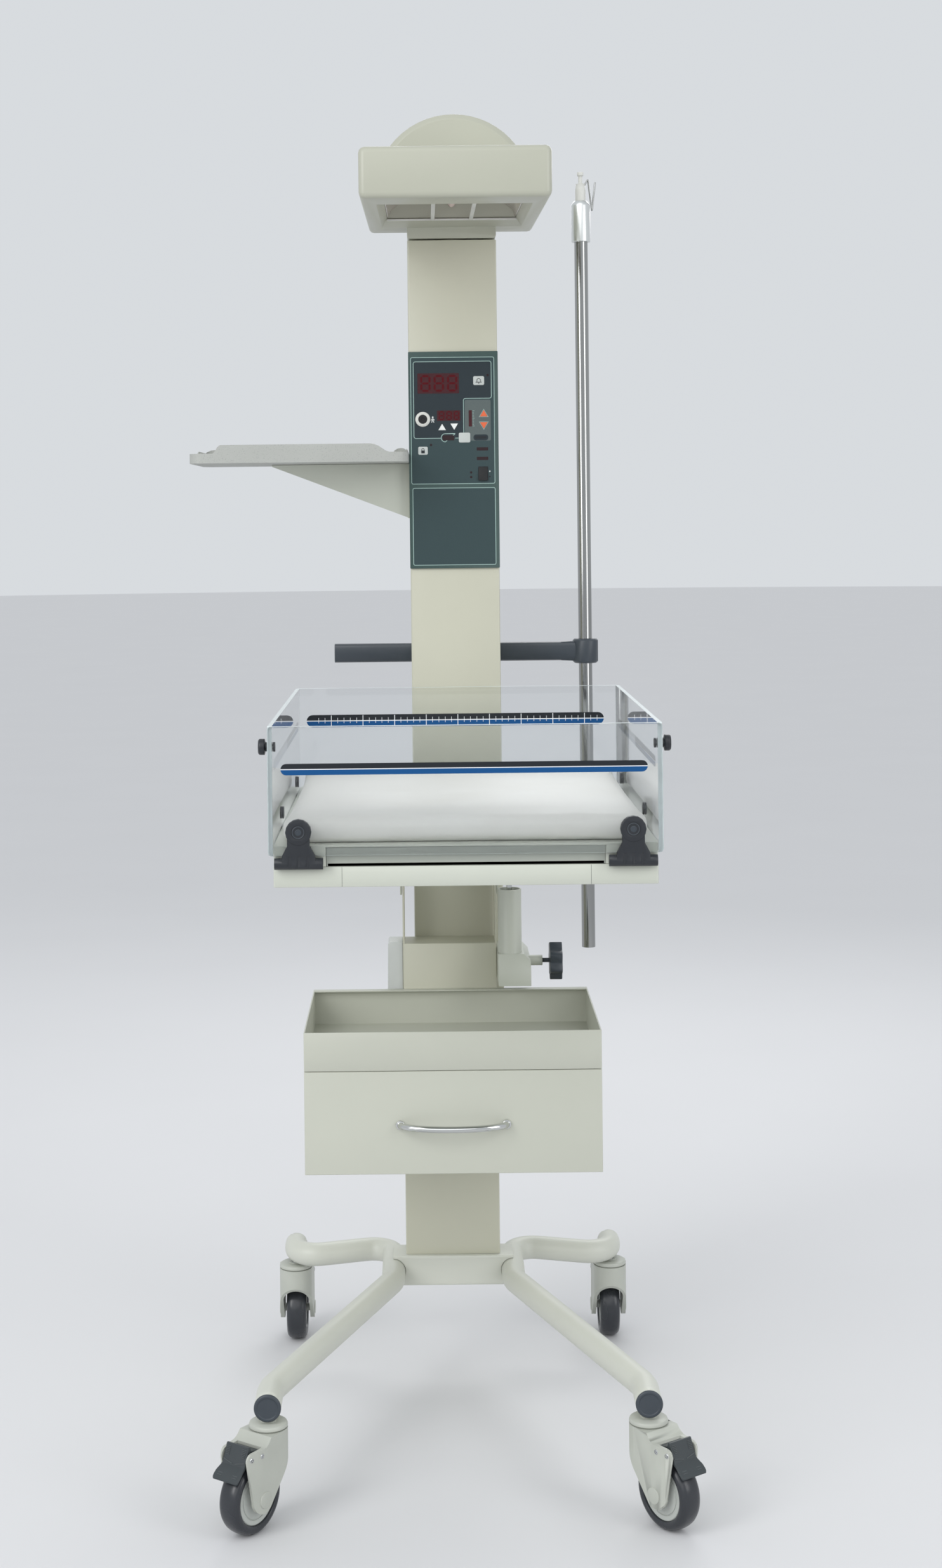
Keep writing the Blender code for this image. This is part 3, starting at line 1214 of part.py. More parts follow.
def reflector():
    """A bent sheet over the heater, carried by its flanges on the recess wall."""
    half, front, rear = cavity_bounds()
    outer_half = half - SEAT_GAP
    base = RECESS_DEPTH + SEAT_GAP
    outer, inner = [], []
    steps = 10
    for step in range(steps + 1):
        angle = math.pi * step / steps
        x, rise = math.cos(angle), math.sin(angle)
        outer.append((outer_half * x, base + REFLECTOR_HEIGHT * rise))
        inner.append(((outer_half - REFLECTOR_SHEET) * x,
                      base + (REFLECTOR_HEIGHT - REFLECTOR_SHEET) * rise))
    outline = outer + inner[::-1]
    return hood_place(prism(outline, "y", front + SEAT_GAP, rear - SEAT_GAP))


def heater_tube():
    """The quartz heater tube, end to end in the cavity."""
    _, front, rear = cavity_bounds()
    return hood_place(rod(HEATER_RADIUS, front + SEAT_GAP, rear - SEAT_GAP, SMALL_STEPS, "y",
                          (0, 0, HEATER_HEIGHT)))


def heater_guard():
    """Two flat bars across the window, on a frame that rests on the recess walls."""
    top = RECESS_DEPTH * GUARD_SEAT_SHARE
    low = top - GUARD_WIRE
    outer = RECESS_HALF_WIDTH - RECESS_SIDE_SLOPE * GUARD_SEAT_SHARE - SEAT_GAP
    front = RECESS_FRONT + RECESS_SIDE_SLOPE * GUARD_SEAT_SHARE + SEAT_GAP
    rear = RECESS_REAR - RECESS_END_SLOPE * GUARD_SEAT_SHARE - SEAT_GAP
    ends = [block((-outer, end, low), (outer, end + GUARD_BAR, top))
            for end in (front, rear - GUARD_BAR)]
    bars = [block((side * GUARD_BAR_X - GUARD_BAR / 2, front + GUARD_WIRE, low),
                  (side * GUARD_BAR_X + GUARD_BAR / 2, rear - GUARD_WIRE, top))
            for side in (-1, 1)]
    return hood_place(weld(bars[0], ends[0], ends[1], bars[1]))


def build_hood():
    joint("hood_swivel", (0, UPPER_DEPTH / 2, UPPER_TOP), "warmer")
    piece("hood_shell", hood_shell(), "hood_swivel", "painted_steel")
    piece("hood_drum", hood_drum(), "hood_swivel", "painted_steel")
    piece("heater_reflector", reflector(), "hood_swivel", "reflector_metal")
    piece("heater_tube", heater_tube(), "hood_swivel", "quartz_glass")
    piece("heater_guard", heater_guard(), "hood_swivel", "moulded_white")


# Bassinet

def frame_bounds():
    """Half width, front and rear of the frame, inside the panels."""
    inset = PANEL_THICKNESS + SEAT_GAP
    return (BASSINET_HALF_WIDTH - inset, PANEL_FRONT_Y + inset, PANEL_REAR_Y - inset)


def bassinet_frame():
    """A rectangular rail frame with two arms and the torque tube they pivot on."""
    half, front, rear = frame_bounds()
    ring = block((-half, front, FRAME_BOTTOM), (half, rear, FRAME_TOP), "z", FRAME_EDGE)
    room = block((-half + FRAME_RAIL_WIDTH, front + FRAME_RAIL_WIDTH, FRAME_BOTTOM - OVERRUN),
                 (half - FRAME_RAIL_WIDTH, rear - FRAME_RAIL_WIDTH, FRAME_TOP + OVERRUN))
    body = carve(ring, room)
    left = BASE_MIDDLE_X - LOWER_WIDTH / 2 - RUNNING_GAP - ARM_THICKNESS
    right = BASE_MIDDLE_X + LOWER_WIDTH / 2 + RUNNING_GAP
    outline = [(rear - FRAME_RAIL_WIDTH / 2, FRAME_BOTTOM), (rear - FRAME_RAIL_WIDTH / 2, FRAME_TOP),
               (PIVOT_Y, FRAME_TOP), (PIVOT_Y + ARM_NOSE, PIVOT_Z), (PIVOT_Y + ARM_NOSE / 4, ARM_LOW_Z),
               (PIVOT_Y - ARM_NOSE, ARM_LOW_Z), (PIVOT_Y - 1.3 * ARM_NOSE, PIVOT_Z - ARM_NOSE),
               (PIVOT_Y - 3 * ARM_NOSE, FRAME_BOTTOM)]
    arms = [prism(outline, "x", left, left + ARM_THICKNESS),
            prism(outline, "x", right, right + ARM_THICKNESS)]
    torque_tube = rod(PIVOT_RADIUS, left + ARM_THICKNESS / 2, right + ARM_THICKNESS / 2,
                      ROUND_STEPS, "x", (0, PIVOT_Y, PIVOT_Z))
    lug = block((STRUT_X - ROD_LUG_WIDTH / 2, rear - FRAME_RAIL_WIDTH / 2, FRAME_BOTTOM),
                (STRUT_X + ROD_LUG_WIDTH / 2, STRUT_Y + ROD_LUG_WIDTH / 2,
                 FRAME_BOTTOM + ROD_LUG_THICKNESS))
    return weld(body, arms[0], arms[1], torque_tube, lug)


def mattress_deck():
    """The deck plate on two runners, between which the cassette tray slides."""
    half, front, rear = frame_bounds()
    half -= RUNNING_GAP - SEAT_GAP
    bottom = FRAME_TOP + SEAT_GAP
    plate = block((-half, front, DECK_TOP - DECK_THICKNESS), (half, rear, DECK_TOP))
    runners = [block((-half, front, bottom), (RUNNER_WIDTH - half, rear, DECK_TOP), "z",
                     RUNNER_EDGE),
               block((half - RUNNER_WIDTH, front, bottom), (half, rear, DECK_TOP), "z",
                     RUNNER_EDGE)]
    return weld(plate, *runners)


def cassette_tray():
    """The shallow tray for a film cassette, with a turned-up front edge."""
    half, front, _ = frame_bounds()
    outer = half - RUNNER_WIDTH - TRAY_SIDE_GAP
    bottom = FRAME_TOP + SEAT_GAP
    body = block((-outer, front + PANEL_FACE_GAP, bottom), (outer, TRAY_REAR_Y, bottom + TRAY_HEIGHT))
    room = block((-outer + TRAY_WALL, front + PANEL_FACE_GAP + TRAY_WALL, bottom + TRAY_WALL),
                 (outer - TRAY_WALL, TRAY_REAR_Y - TRAY_WALL, bottom + TRAY_HEIGHT + OVERRUN))
    return carve(body, room)


def mattress():
    """A crowned cushion with round corners and sides drawn in between them."""
    length = MATTRESS_REAR_Y - MATTRESS_FRONT_Y
    middle_y = (MATTRESS_REAR_Y + MATTRESS_FRONT_Y) / 2
    half_x, half_y = MATTRESS_HALF_WIDTH, length / 2
    bottom = DECK_TOP + SEAT_GAP
    count_x, count_y = 14, 18

    def place(u, v, inset, level):
        """A point of the plan, with round corners and drawn-in sides."""
        x, y = u * half_x, v * half_y
        limit = max(abs(u), abs(v))
        if limit > 0:
            edge_x, edge_y = abs(u) / limit * half_x, abs(v) / limit * half_y
            corner_x, corner_y = half_x - MATTRESS_CORNER, half_y - MATTRESS_CORNER
            if edge_x > corner_x and edge_y > corner_y:
                reach = math.hypot(edge_x - corner_x, edge_y - corner_y)
                pull = max(reach - MATTRESS_CORNER, 0.0) / math.hypot(edge_x, edge_y)
                x, y = x * (1 - pull), y * (1 - pull)
        x -= math.copysign(1, u) * abs(u) * (inset + MATTRESS_DRAW_IN * (1 - v * v))
        y -= math.copysign(1, v) * abs(v) * (inset + MATTRESS_DRAW_IN * (1 - u * u))
        return Vector((x, middle_y + y, bottom + level))

    bm = bmesh.new()

    def layer(inset, level, crown):
        grid = {}
        for i in range(count_x + 1):
            for j in range(count_y + 1):
                u, v = 2 * i / count_x - 1, 2 * j / count_y - 1
                rise = crown * (1 - u ** 4) * (1 - v ** 4)
                grid[i, j] = bm.verts.new(place(u, v, inset, level + rise))
        for i in range(count_x):
            for j in range(count_y):
                bm.faces.new((grid[i, j], grid[i + 1, j], grid[i + 1, j + 1], grid[i, j + 1]))
        return grid

    rim = [(i, 0) for i in range(count_x)] + [(count_x, j) for j in range(count_y)]
    rim += [(i, count_y) for i in range(count_x, 0, -1)]
    rim += [(0, j) for j in range(count_y, 0, -1)]
    lower = layer(MATTRESS_EDGE / 2, 0.0, 0.0)
    upper = layer(MATTRESS_EDGE / 2, MATTRESS_THICKNESS, MATTRESS_CROWN)
    rings = [[lower[key] for key in rim]]
    for share, inset in ((0.22, 0.0), (0.5, -MATTRESS_DRAW_IN / 3), (0.78, 0.0)):
        ring = []
        for i, j in rim:
            u, v = 2 * i / count_x - 1, 2 * j / count_y - 1
            ring.append(bm.verts.new(place(u, v, inset, MATTRESS_THICKNESS * share)))
        rings.append(ring)
    rings.append([upper[key] for key in rim])
    for low_ring, high_ring in zip(rings, rings[1:]):
        for index in range(len(rim)):
            after = (index + 1) % len(rim)
            bm.faces.new((low_ring[index], low_ring[after], high_ring[after], high_ring[index]))
    return mesh_of(bm)


def hinge_outline():
    """The flared foot and the waist of the moulded hinge, seen from the front."""
    flare, waist = HINGE_FLARE_WIDTH / 2, HINGE_WAIST_WIDTH / 2
    return [(-flare, 0), (flare, 0),
            (flare, HINGE_FLARE_TOP), (waist, HINGE_WAIST_Z), (waist, HINGE_DISC_RISE),
            (-waist, HINGE_DISC_RISE), (-waist, HINGE_WAIST_Z), (-flare, HINGE_FLARE_TOP)]


def panel_offset():
    """How far the hinge barrel's axis stands in front of the panel's outer face."""
    return HINGE_BARREL_RADIUS - PANEL_THICKNESS


def panel_hinge():
    """The moulded hinge: barrel, flared grip with finger grooves, disc, bolt and cap."""
    face = panel_offset() - SEAT_GAP
    inner = panel_offset() + PANEL_THICKNESS + SEAT_GAP
    body = prism(hinge_outline(), "y", HINGE_FOOT_SETBACK - HINGE_BARREL_RADIUS, face)
    barrel = rod(HINGE_BARREL_RADIUS, -HINGE_BARREL_LENGTH / 2, HINGE_BARREL_LENGTH / 2,
                 SMALL_STEPS, "x")
    disc = lathe([(0, -HINGE_FRONT + HINGE_BOSS_DEPTH), (HINGE_BOSS_RADIUS, -HINGE_FRONT + HINGE_BOSS_DEPTH),
                  (HINGE_BOSS_RADIUS, -HINGE_FRONT),
                  (HINGE_DISC_RADIUS - HINGE_BOSS_DEPTH, -HINGE_FRONT),
                  (HINGE_DISC_RADIUS, -HINGE_FRONT + HINGE_BOSS_DEPTH),
                  (HINGE_DISC_RADIUS, face), (HINGE_BOLT_RADIUS, face),
                  (HINGE_BOLT_RADIUS, inner), (HINGE_CAP_RADIUS, inner),
                  (HINGE_CAP_RADIUS, inner + HINGE_CAP_HEIGHT), (0, inner + HINGE_CAP_HEIGHT)],
                 HINGE_STEPS, "y", (0, 0, HINGE_DISC_RISE))
    body = weld(body, barrel, disc)
    grooves = [rod(HINGE_GROOVE_RADIUS, -HINGE_BARREL_RADIUS / 2, HINGE_FLARE_TOP, 8, "z",
                   (step * HINGE_GROOVE_PITCH, -HINGE_BARREL_RADIUS - HINGE_GROOVE_RADIUS / 2, 0))
               for step in (-1, 0, 1)]
    return carve(body, *grooves)


def bolt_hole(place, along):
    """A cutter for a hinge bolt, through a panel that faces along x or y."""
    reach = PANEL_THICKNESS + OVERRUN
    middle = place[0] if along == "x" else place[1]
    centre = (0, place[1], place[2]) if along == "x" else (place[0], 0, place[2])
    return rod(HINGE_BOLT_RADIUS + SEAT_GAP, middle - reach, middle + reach, SMALL_STEPS,
               along, centre)


def front_panel():
    low = (-BASSINET_HALF_WIDTH, PANEL_FRONT_Y, PANEL_BOTTOM)
    high = (BASSINET_HALF_WIDTH, PANEL_FRONT_Y + PANEL_THICKNESS, PANEL_TOP)
    bolt_z = HINGE_BARREL_Z + HINGE_DISC_RISE
    holes = [bolt_hole((side * FRONT_HINGE_X, PANEL_FRONT_Y, bolt_z), "y") for side in (-1, 1)]
    return carve(block(low, high, "y", PANEL_EDGE * 4), *holes)


def rear_panel():
    return block((-BASSINET_HALF_WIDTH, PANEL_REAR_Y - PANEL_THICKNESS, PANEL_BOTTOM),
                 (BASSINET_HALF_WIDTH, PANEL_REAR_Y, PANEL_TOP), "y", PANEL_EDGE * 4)


def latch_y():
    return PANEL_FRONT_Y + LATCH_SETBACK


def side_panel(side):
    outer = side * BASSINET_HALF_WIDTH
    inner = side * (BASSINET_HALF_WIDTH - PANEL_THICKNESS)
    front = PANEL_FRONT_Y + PANEL_THICKNESS + PANEL_FACE_GAP
    rear = PANEL_REAR_Y - PANEL_THICKNESS - PANEL_FACE_GAP
    body = block((min(outer, inner), front, PANEL_BOTTOM), (max(outer, inner), rear, PANEL_TOP),
                 "x", PANEL_EDGE)
    bolt_z = HINGE_BARREL_Z + HINGE_DISC_RISE
    holes = [bolt_hole((outer, place, bolt_z), "x")
             for place in (SIDE_HINGE_FRONT_Y, SIDE_HINGE_REAR_Y)]
    reach = PANEL_THICKNESS + OVERRUN
    holes.append(rod(LATCH_SPINDLE_RADIUS + SEAT_GAP, outer - reach, outer + reach, SMALL_STEPS,
                     "x", (0, latch_y(), LATCH_Z)))
    return carve(body, *holes)


def latch_knob(side):
    """A round knob outside the side panel, its spindle and the cap inside."""
    outer = BASSINET_HALF_WIDTH + SEAT_GAP
    inner = BASSINET_HALF_WIDTH - PANEL_THICKNESS - SEAT_GAP
    profile = [(0, inner - LATCH_CAP_HEIGHT), (LATCH_CAP_RADIUS, inner - LATCH_CAP_HEIGHT),
               (LATCH_CAP_RADIUS, inner), (LATCH_SPINDLE_RADIUS, inner),
               (LATCH_SPINDLE_RADIUS, outer), (LATCH_WAIST, outer),
               (LATCH_WAIST, outer + LATCH_HEIGHT / 4),
               (LATCH_RADIUS, outer + LATCH_HEIGHT / 3),
               (LATCH_RADIUS, outer + LATCH_HEIGHT * 0.85),
               (LATCH_RADIUS * 0.85, outer + LATCH_HEIGHT), (0, outer + LATCH_HEIGHT)]
    profile = [(radius, side * height) for radius, height in profile]
    return lathe(profile, SMALL_STEPS + 4, "x", (0, latch_y(), LATCH_Z))


def build_bassinet():
    tilt = joint("bassinet_tilt", (BASE_MIDDLE_X, PIVOT_Y, PIVOT_Z), "warmer")
    piece("bassinet_frame", bassinet_frame(), tilt, "painted_steel")
    piece("mattress_deck", mattress_deck(), tilt, "painted_steel")
    piece("mattress", mattress(), tilt, "mattress_cover")
    piece("rear_panel", rear_panel(), tilt, "acrylic")
    _, front, _ = frame_bounds()
    joint("cassette_slide", (0, front, FRAME_TOP), tilt)
    piece("cassette_tray", cassette_tray(), "cassette_slide", "tray_grey")
    hinge = panel_hinge()
    barrel_y = PANEL_FRONT_Y - panel_offset()
    front_fold = joint("front_panel_fold", (0, barrel_y, HINGE_BARREL_Z), tilt)
    piece("front_panel", front_panel(), front_fold, "acrylic")
    for side, word in ((-1, "left"), (1, "right")):
        part = piece("front_hinge_" + word, hinge.copy(), front_fold, "dark_plastic", True)
        part.location[0] = side * FRONT_HINGE_X
        barrel_x = side * (BASSINET_HALF_WIDTH + panel_offset())
        fold = joint(word + "_panel_fold", (barrel_x, PIVOT_Y, HINGE_BARREL_Z), tilt)
        piece(word + "_panel", side_panel(side), fold, "acrylic")
        for place, where in ((SIDE_HINGE_FRONT_Y, "front"), (SIDE_HINGE_REAR_Y, "rear")):
            part = piece(word + "_hinge_" + where, hinge.copy(), fold, "dark_plastic", True,
                         side * math.pi / 2)
            part.location[1] = place - PIVOT_Y
        latch = joint(word + "_latch_axis", (side * BASSINET_HALF_WIDTH, latch_y(), LATCH_Z), fold)
        piece(word + "_latch_knob", latch_knob(side), latch, "dark_plastic")


def centre_footprint():
    """Move the whole warmer so that the middle of its footprint is the origin."""
    bpy.context.view_layer.update()
    corners = []
    for part in bpy.data.objects:
        if part.type == "MESH":
            corners += [part.matrix_world @ vertex.co for vertex in part.data.vertices]
    for axis in (0, 1):
        values = [corner[axis] for corner in corners]
        bpy.data.objects["warmer"].location[axis] -= (min(values) + max(values)) / 2
    bpy.context.view_layer.update()


clear_scene()
joint("warmer", (0, 0, 0))
build_base()
build_castors()
build_columns()
build_tilt_strut()
build_drawer_unit()
build_shelf()
build_rail_and_pole()
build_console()
build_hood()
build_bassinet()
centre_footprint()
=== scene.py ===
# %% [markdown]
# # An infant radiant warmer
# The warmer stands on a bent-tube base with castors. A column carries a drawer unit, a
# tilting bassinet with clear panels, a control panel and a heater hood. The solids come
# ready made and to size. This lesson gives them finishes, softens their edges, and adds
# what is too fine or too soft to be a solid.

# %% Load the fixed frame
import json
import math

import bmesh
import bpy
from mathutils import Matrix, Vector, noise

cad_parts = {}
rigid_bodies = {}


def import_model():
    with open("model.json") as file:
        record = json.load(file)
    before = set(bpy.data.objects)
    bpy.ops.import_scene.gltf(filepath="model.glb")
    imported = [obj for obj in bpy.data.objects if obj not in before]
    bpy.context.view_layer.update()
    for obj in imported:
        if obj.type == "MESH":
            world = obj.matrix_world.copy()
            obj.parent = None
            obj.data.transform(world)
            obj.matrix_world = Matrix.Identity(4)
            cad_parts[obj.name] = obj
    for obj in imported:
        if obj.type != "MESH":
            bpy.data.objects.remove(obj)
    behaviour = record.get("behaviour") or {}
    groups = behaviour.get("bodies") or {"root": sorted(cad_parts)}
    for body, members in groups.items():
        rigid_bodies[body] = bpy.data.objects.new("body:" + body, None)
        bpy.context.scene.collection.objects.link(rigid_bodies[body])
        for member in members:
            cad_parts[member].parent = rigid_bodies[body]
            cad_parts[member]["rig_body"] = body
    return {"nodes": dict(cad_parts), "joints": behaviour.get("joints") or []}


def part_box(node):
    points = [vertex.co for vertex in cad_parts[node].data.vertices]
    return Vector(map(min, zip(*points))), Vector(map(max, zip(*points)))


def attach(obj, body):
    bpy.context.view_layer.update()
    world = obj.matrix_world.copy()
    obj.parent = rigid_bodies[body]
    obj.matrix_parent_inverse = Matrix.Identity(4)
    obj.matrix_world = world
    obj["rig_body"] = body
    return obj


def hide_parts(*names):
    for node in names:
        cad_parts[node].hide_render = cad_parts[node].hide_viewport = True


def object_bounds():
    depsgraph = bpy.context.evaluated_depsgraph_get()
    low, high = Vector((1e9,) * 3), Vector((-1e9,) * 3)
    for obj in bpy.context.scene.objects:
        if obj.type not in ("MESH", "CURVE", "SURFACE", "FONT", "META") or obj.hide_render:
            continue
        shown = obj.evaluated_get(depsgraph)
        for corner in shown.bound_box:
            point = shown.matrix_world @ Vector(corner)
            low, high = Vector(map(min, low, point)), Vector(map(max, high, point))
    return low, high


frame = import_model()
cad_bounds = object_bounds()
nodes = frame["nodes"]
joints = {joint["name"]: joint for joint in frame["joints"]}

# %% [markdown]
# Every size here is read off one place: the middle of the column's front face, at floor
# level. A small helper turns such a measurement into a place in the scene, so the lesson
# still fits if the footprint's centre moves.

# %% A helper for places
column_low, column_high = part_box("upper_column")
front_face = Vector(((column_low.x + column_high.x) / 2, column_low.y, 0))


def at(x, y, z):
    """A place measured from the column's front face, with the floor at zero."""
    return front_face + Vector((x, y, z))


print("column front face at", [round(value, 4) for value in front_face])

# %% [markdown]
# ## Camera
# The photograph was taken level, from chest height, with the lens raised off the middle of
# the frame. A level camera with a small shift keeps the column's sides upright, which a
# tilted camera would not do. A slight roll copies the way the picture was trimmed.

# %% Set the camera
PHOTO_HEIGHT = 2470
FOCAL_PIXELS = 3588
AXIS_RIGHT_PIXELS, AXIS_UP_PIXELS = -70.6, 419.3
CAMERA_RIGHT, CAMERA_FORWARD, CAMERA_HEIGHT = -0.0466, -3.74, 1.372
ROLL = -0.0110


def put(name, data):
    """Add an object with this data to the scene."""
    made = bpy.data.objects.new(name, data)
    bpy.context.collection.objects.link(made)
    return made


lens = bpy.data.cameras.new("photo_lens")
lens.sensor_fit = "VERTICAL"
lens.sensor_height = 36
lens.lens = FOCAL_PIXELS / PHOTO_HEIGHT * lens.sensor_height
lens.shift_x = -AXIS_RIGHT_PIXELS / PHOTO_HEIGHT
lens.shift_y = -AXIS_UP_PIXELS / PHOTO_HEIGHT
lens.clip_end = 200
camera = put("photo_camera", lens)
camera.matrix_world = (Matrix.Translation(at(CAMERA_RIGHT, CAMERA_FORWARD, CAMERA_HEIGHT))
                       @ Matrix.Rotation(math.radians(90), 4, "X")
                       @ Matrix.Rotation(ROLL, 4, "Z"))
bpy.context.scene.camera = camera
print("lens", round(lens.lens, 2), "mm")

# %% [markdown]
# ## Shader maths
# A finish is easier to read as a sum than as a tangle of wires. One class wraps a socket
# and turns plus, minus and times into Math nodes. One more class holds the material, adds
# any other node, and mixes colours.


# %% Wrap a socket so that it takes part in sums
class Signal:
    """The value of a socket in a finish's node tree."""

    def __init__(self, finish, socket):
        self.finish = finish
        self.socket = socket

    def maths(self, operation, first, second=None):
        inputs = {0: first} if second is None else {0: first, 1: second}
        return self.finish.node("ShaderNodeMath", {"operation": operation}, inputs)

    def __add__(self, other):
        return self.maths("ADD", self, other)

    def __radd__(self, other):
        return self.maths("ADD", other, self)

    def __sub__(self, other):
        return self.maths("SUBTRACT", self, other)

    def __rsub__(self, other):
        return self.maths("SUBTRACT", other, self)

    def __mul__(self, other):
        return self.maths("MULTIPLY", self, other)

    def __rmul__(self, other):
        return self.maths("MULTIPLY", other, self)


# %% Hold a material and add nodes to it
class Finish:
    """A Principled material in the making."""

    def __init__(self, name, base, **constants):
        self.material = bpy.data.materials.new(name)
        self.material.use_nodes = True
        self.tree = self.material.node_tree
        self.shader = self.tree.nodes["Principled BSDF"]
        self.drive(Base_Color=base, **constants)

    def feed(self, socket, value):
        """Link a signal to a socket, or set the socket to a colour or a number."""
        if isinstance(value, Signal):
            self.tree.links.new(value.socket, socket)
        elif socket.type == "RGBA":
            socket.default_value = (*value, 1)
        else:
            socket.default_value = value

    def node(self, kind, settings=None, inputs=None, output=0):
        """Add a node, set it up, feed its sockets and give back one output."""
        made = self.tree.nodes.new(kind)
        for key, value in (settings or {}).items():
            if key == "stops":
                set_stops(made.color_ramp, value)
            else:
                setattr(made, key, value)
        for key, value in (inputs or {}).items():
            self.feed(made.inputs[key], value)
        return Signal(self, made.outputs[output])

    def drive(self, **values):
        """Feed sockets of the shader, such as Base_Color or Roughness."""
        for words, value in values.items():
            self.feed(self.shader.inputs[words.replace("_", " ")], value)

    def place(self):
        """Where a point of the piece is, in metres."""
        return self.node("ShaderNodeTexCoord", {}, {}, "Object")

    def grain(self, size, detail=2.0, rough=0.5):
        """Soft noise whose patches are about this many metres across."""
        return self.node("ShaderNodeTexNoise", {},
                         {"Vector": self.place(), "Scale": 1 / size, "Detail": detail,
                          "Roughness": rough}, "Fac")

    def ramp(self, signal, stops):
        return self.node("ShaderNodeValToRGB", {"stops": stops}, {"Fac": signal}, "Color")

    def blend(self, share, first, second):
        return self.node("ShaderNodeMix", {"data_type": "RGBA"},
                         {0: share, 6: first, 7: second}, 2)

    def bump(self, height, depth, strength=1.0):
        """Raise the surface by a signal, by this many metres at most."""
        return self.node("ShaderNodeBump", {},
                         {"Height": height, "Distance": depth, "Strength": strength})


def set_stops(colour_ramp, stops):
    """Give a colour ramp its stops, each a position and a colour."""
    while len(colour_ramp.elements) < len(stops):
        colour_ramp.elements.new(0.5)
    for element, (position, colour) in zip(colour_ramp.elements, stops):
        element.position = position
        element.color = (*colour, 1)


# %% [markdown]
# ## Painted steel
# The columns, hood, frame and drawer unit are sheet steel with a baked, slightly warm white
# powder coat. Powder coat has a faint orange-peel texture and never one even tone: handling
# leaves broad, very weak patches. So a coarse noise tints the colour and the gloss, and a
# fine noise bumps the surface by a few hundredths of a millimetre.


# %% Make the powder coats
def shade(colour, factor):
    return tuple(min(value * factor, 1) for value in colour)


def powder_coat(name, colour, roughness=0.42):
    paint = Finish(name, colour, Roughness=roughness)
    patches = paint.grain(0.22, 3)
    dust = paint.grain(0.012, 2)
    paint.drive(Base_Color=paint.blend(patches, shade(colour, 0.93), shade(colour, 1.05)))
    paint.drive(Roughness=(roughness - 0.08) + patches * 0.10 + dust * 0.06)
    paint.drive(Normal=paint.bump(paint.grain(0.0022, 2), 0.00006, 0.55))
    return paint.material


column_paint = powder_coat("column_powder_coat", (0.555, 0.550, 0.445))
frame_paint = powder_coat("frame_powder_coat", (0.545, 0.565, 0.495))
drawer_paint = powder_coat("drawer_powder_coat", (0.530, 0.540, 0.465))
hood_paint = powder_coat("hood_powder_coat", (0.450, 0.455, 0.375), 0.36)
base_paint = powder_coat("base_powder_coat", (0.590, 0.600, 0.535), 0.40)
# The tray's coat is far darker than the frame's: painted shade, for the shade that falls under the
# mattress.
painted_shade_tray_coat = powder_coat("tray_coat_with_painted_shade", (0.330, 0.350, 0.310), 0.40)
print("mixed", len(bpy.data.materials), "powder coats")

# %% [markdown]
# ## Moulded plastics
# The shelf is a pale moulding with a fine fleck in it. The castor forks and the mains box
# are plain pale plastic. The hinges, knobs and rail fittings are dark, with the fine spark
# texture that a mould leaves. A fleck is a noise pushed through a steep ramp, so that only
# its peaks show.


# %% Make the plastics
def moulded(name, colour, roughness=0.5, texture=0.0007, depth=0.00003):
    plastic = Finish(name, colour, Roughness=roughness)
    tone = plastic.grain(0.05, 3)
    plastic.drive(Base_Color=plastic.blend(tone, shade(colour, 0.88), shade(colour, 1.10)))
    plastic.drive(Roughness=(roughness - 0.05) + tone * 0.10)
    plastic.drive(Normal=plastic.bump(plastic.grain(texture, 1), depth, 0.5))
    return plastic.material


def flecked(name, colour, fleck):
    plastic = Finish(name, colour, Roughness=0.55)
    peaks = plastic.ramp(plastic.grain(0.0016, 2, 0.7),
                         [(0.0, (0, 0, 0)), (0.60, (0, 0, 0)), (0.68, (1, 1, 1))])
    tone = plastic.blend(plastic.grain(0.08, 3), shade(colour, 0.95), shade(colour, 1.04))
    plastic.drive(Base_Color=plastic.blend(peaks, tone, fleck))
    plastic.drive(Normal=plastic.bump(plastic.grain(0.0018, 2), 0.00012, 0.6))
    return plastic.material


shelf_plastic = flecked("flecked_shelf_plastic", (0.40, 0.41, 0.385), (0.27, 0.28, 0.27))
castor_plastic = moulded("castor_fork_plastic", (0.46, 0.475, 0.425), 0.40)
hub_plastic = moulded("castor_hub_plastic", (0.46, 0.48, 0.45), 0.40)
white_plastic = moulded("white_plastic", (0.66, 0.66, 0.62), 0.45)
slate_plastic = moulded("slate_plastic", (0.040, 0.050, 0.062), 0.38)
rocker_plastic = moulded("rocker_plastic", (0.006, 0.007, 0.008), 0.60)
pedal_plastic = moulded("pedal_plastic", (0.036, 0.044, 0.048), 0.42)
# The ribs are moulded with the pedal; their paler tone is a painted highlight.
rib_painted_highlight = moulded("pedal_rib_plastic", (0.085, 0.097, 0.100), 0.42)
hinge_plastic = moulded("hinge_plastic", (0.016, 0.019, 0.024), 0.40)
black_plastic = moulded("black_plastic", (0.008, 0.008, 0.009), 0.30)
tyre_rubber = moulded("tyre_rubber", (0.028, 0.031, 0.037), 0.26, 0.0012, 0.00001)
box_plastic = moulded("mains_box_plastic", (0.60, 0.62, 0.60), 0.45)
key_grey = moulded("grey_key", (0.52, 0.55, 0.53), 0.5)
key_white = moulded("white_key", (0.80, 0.82, 0.80), 0.5)
key_orange = moulded("orange_key", (0.75, 0.14, 0.05), 0.5)

print("mixed", len(bpy.data.materials), "coats and plastics so far")
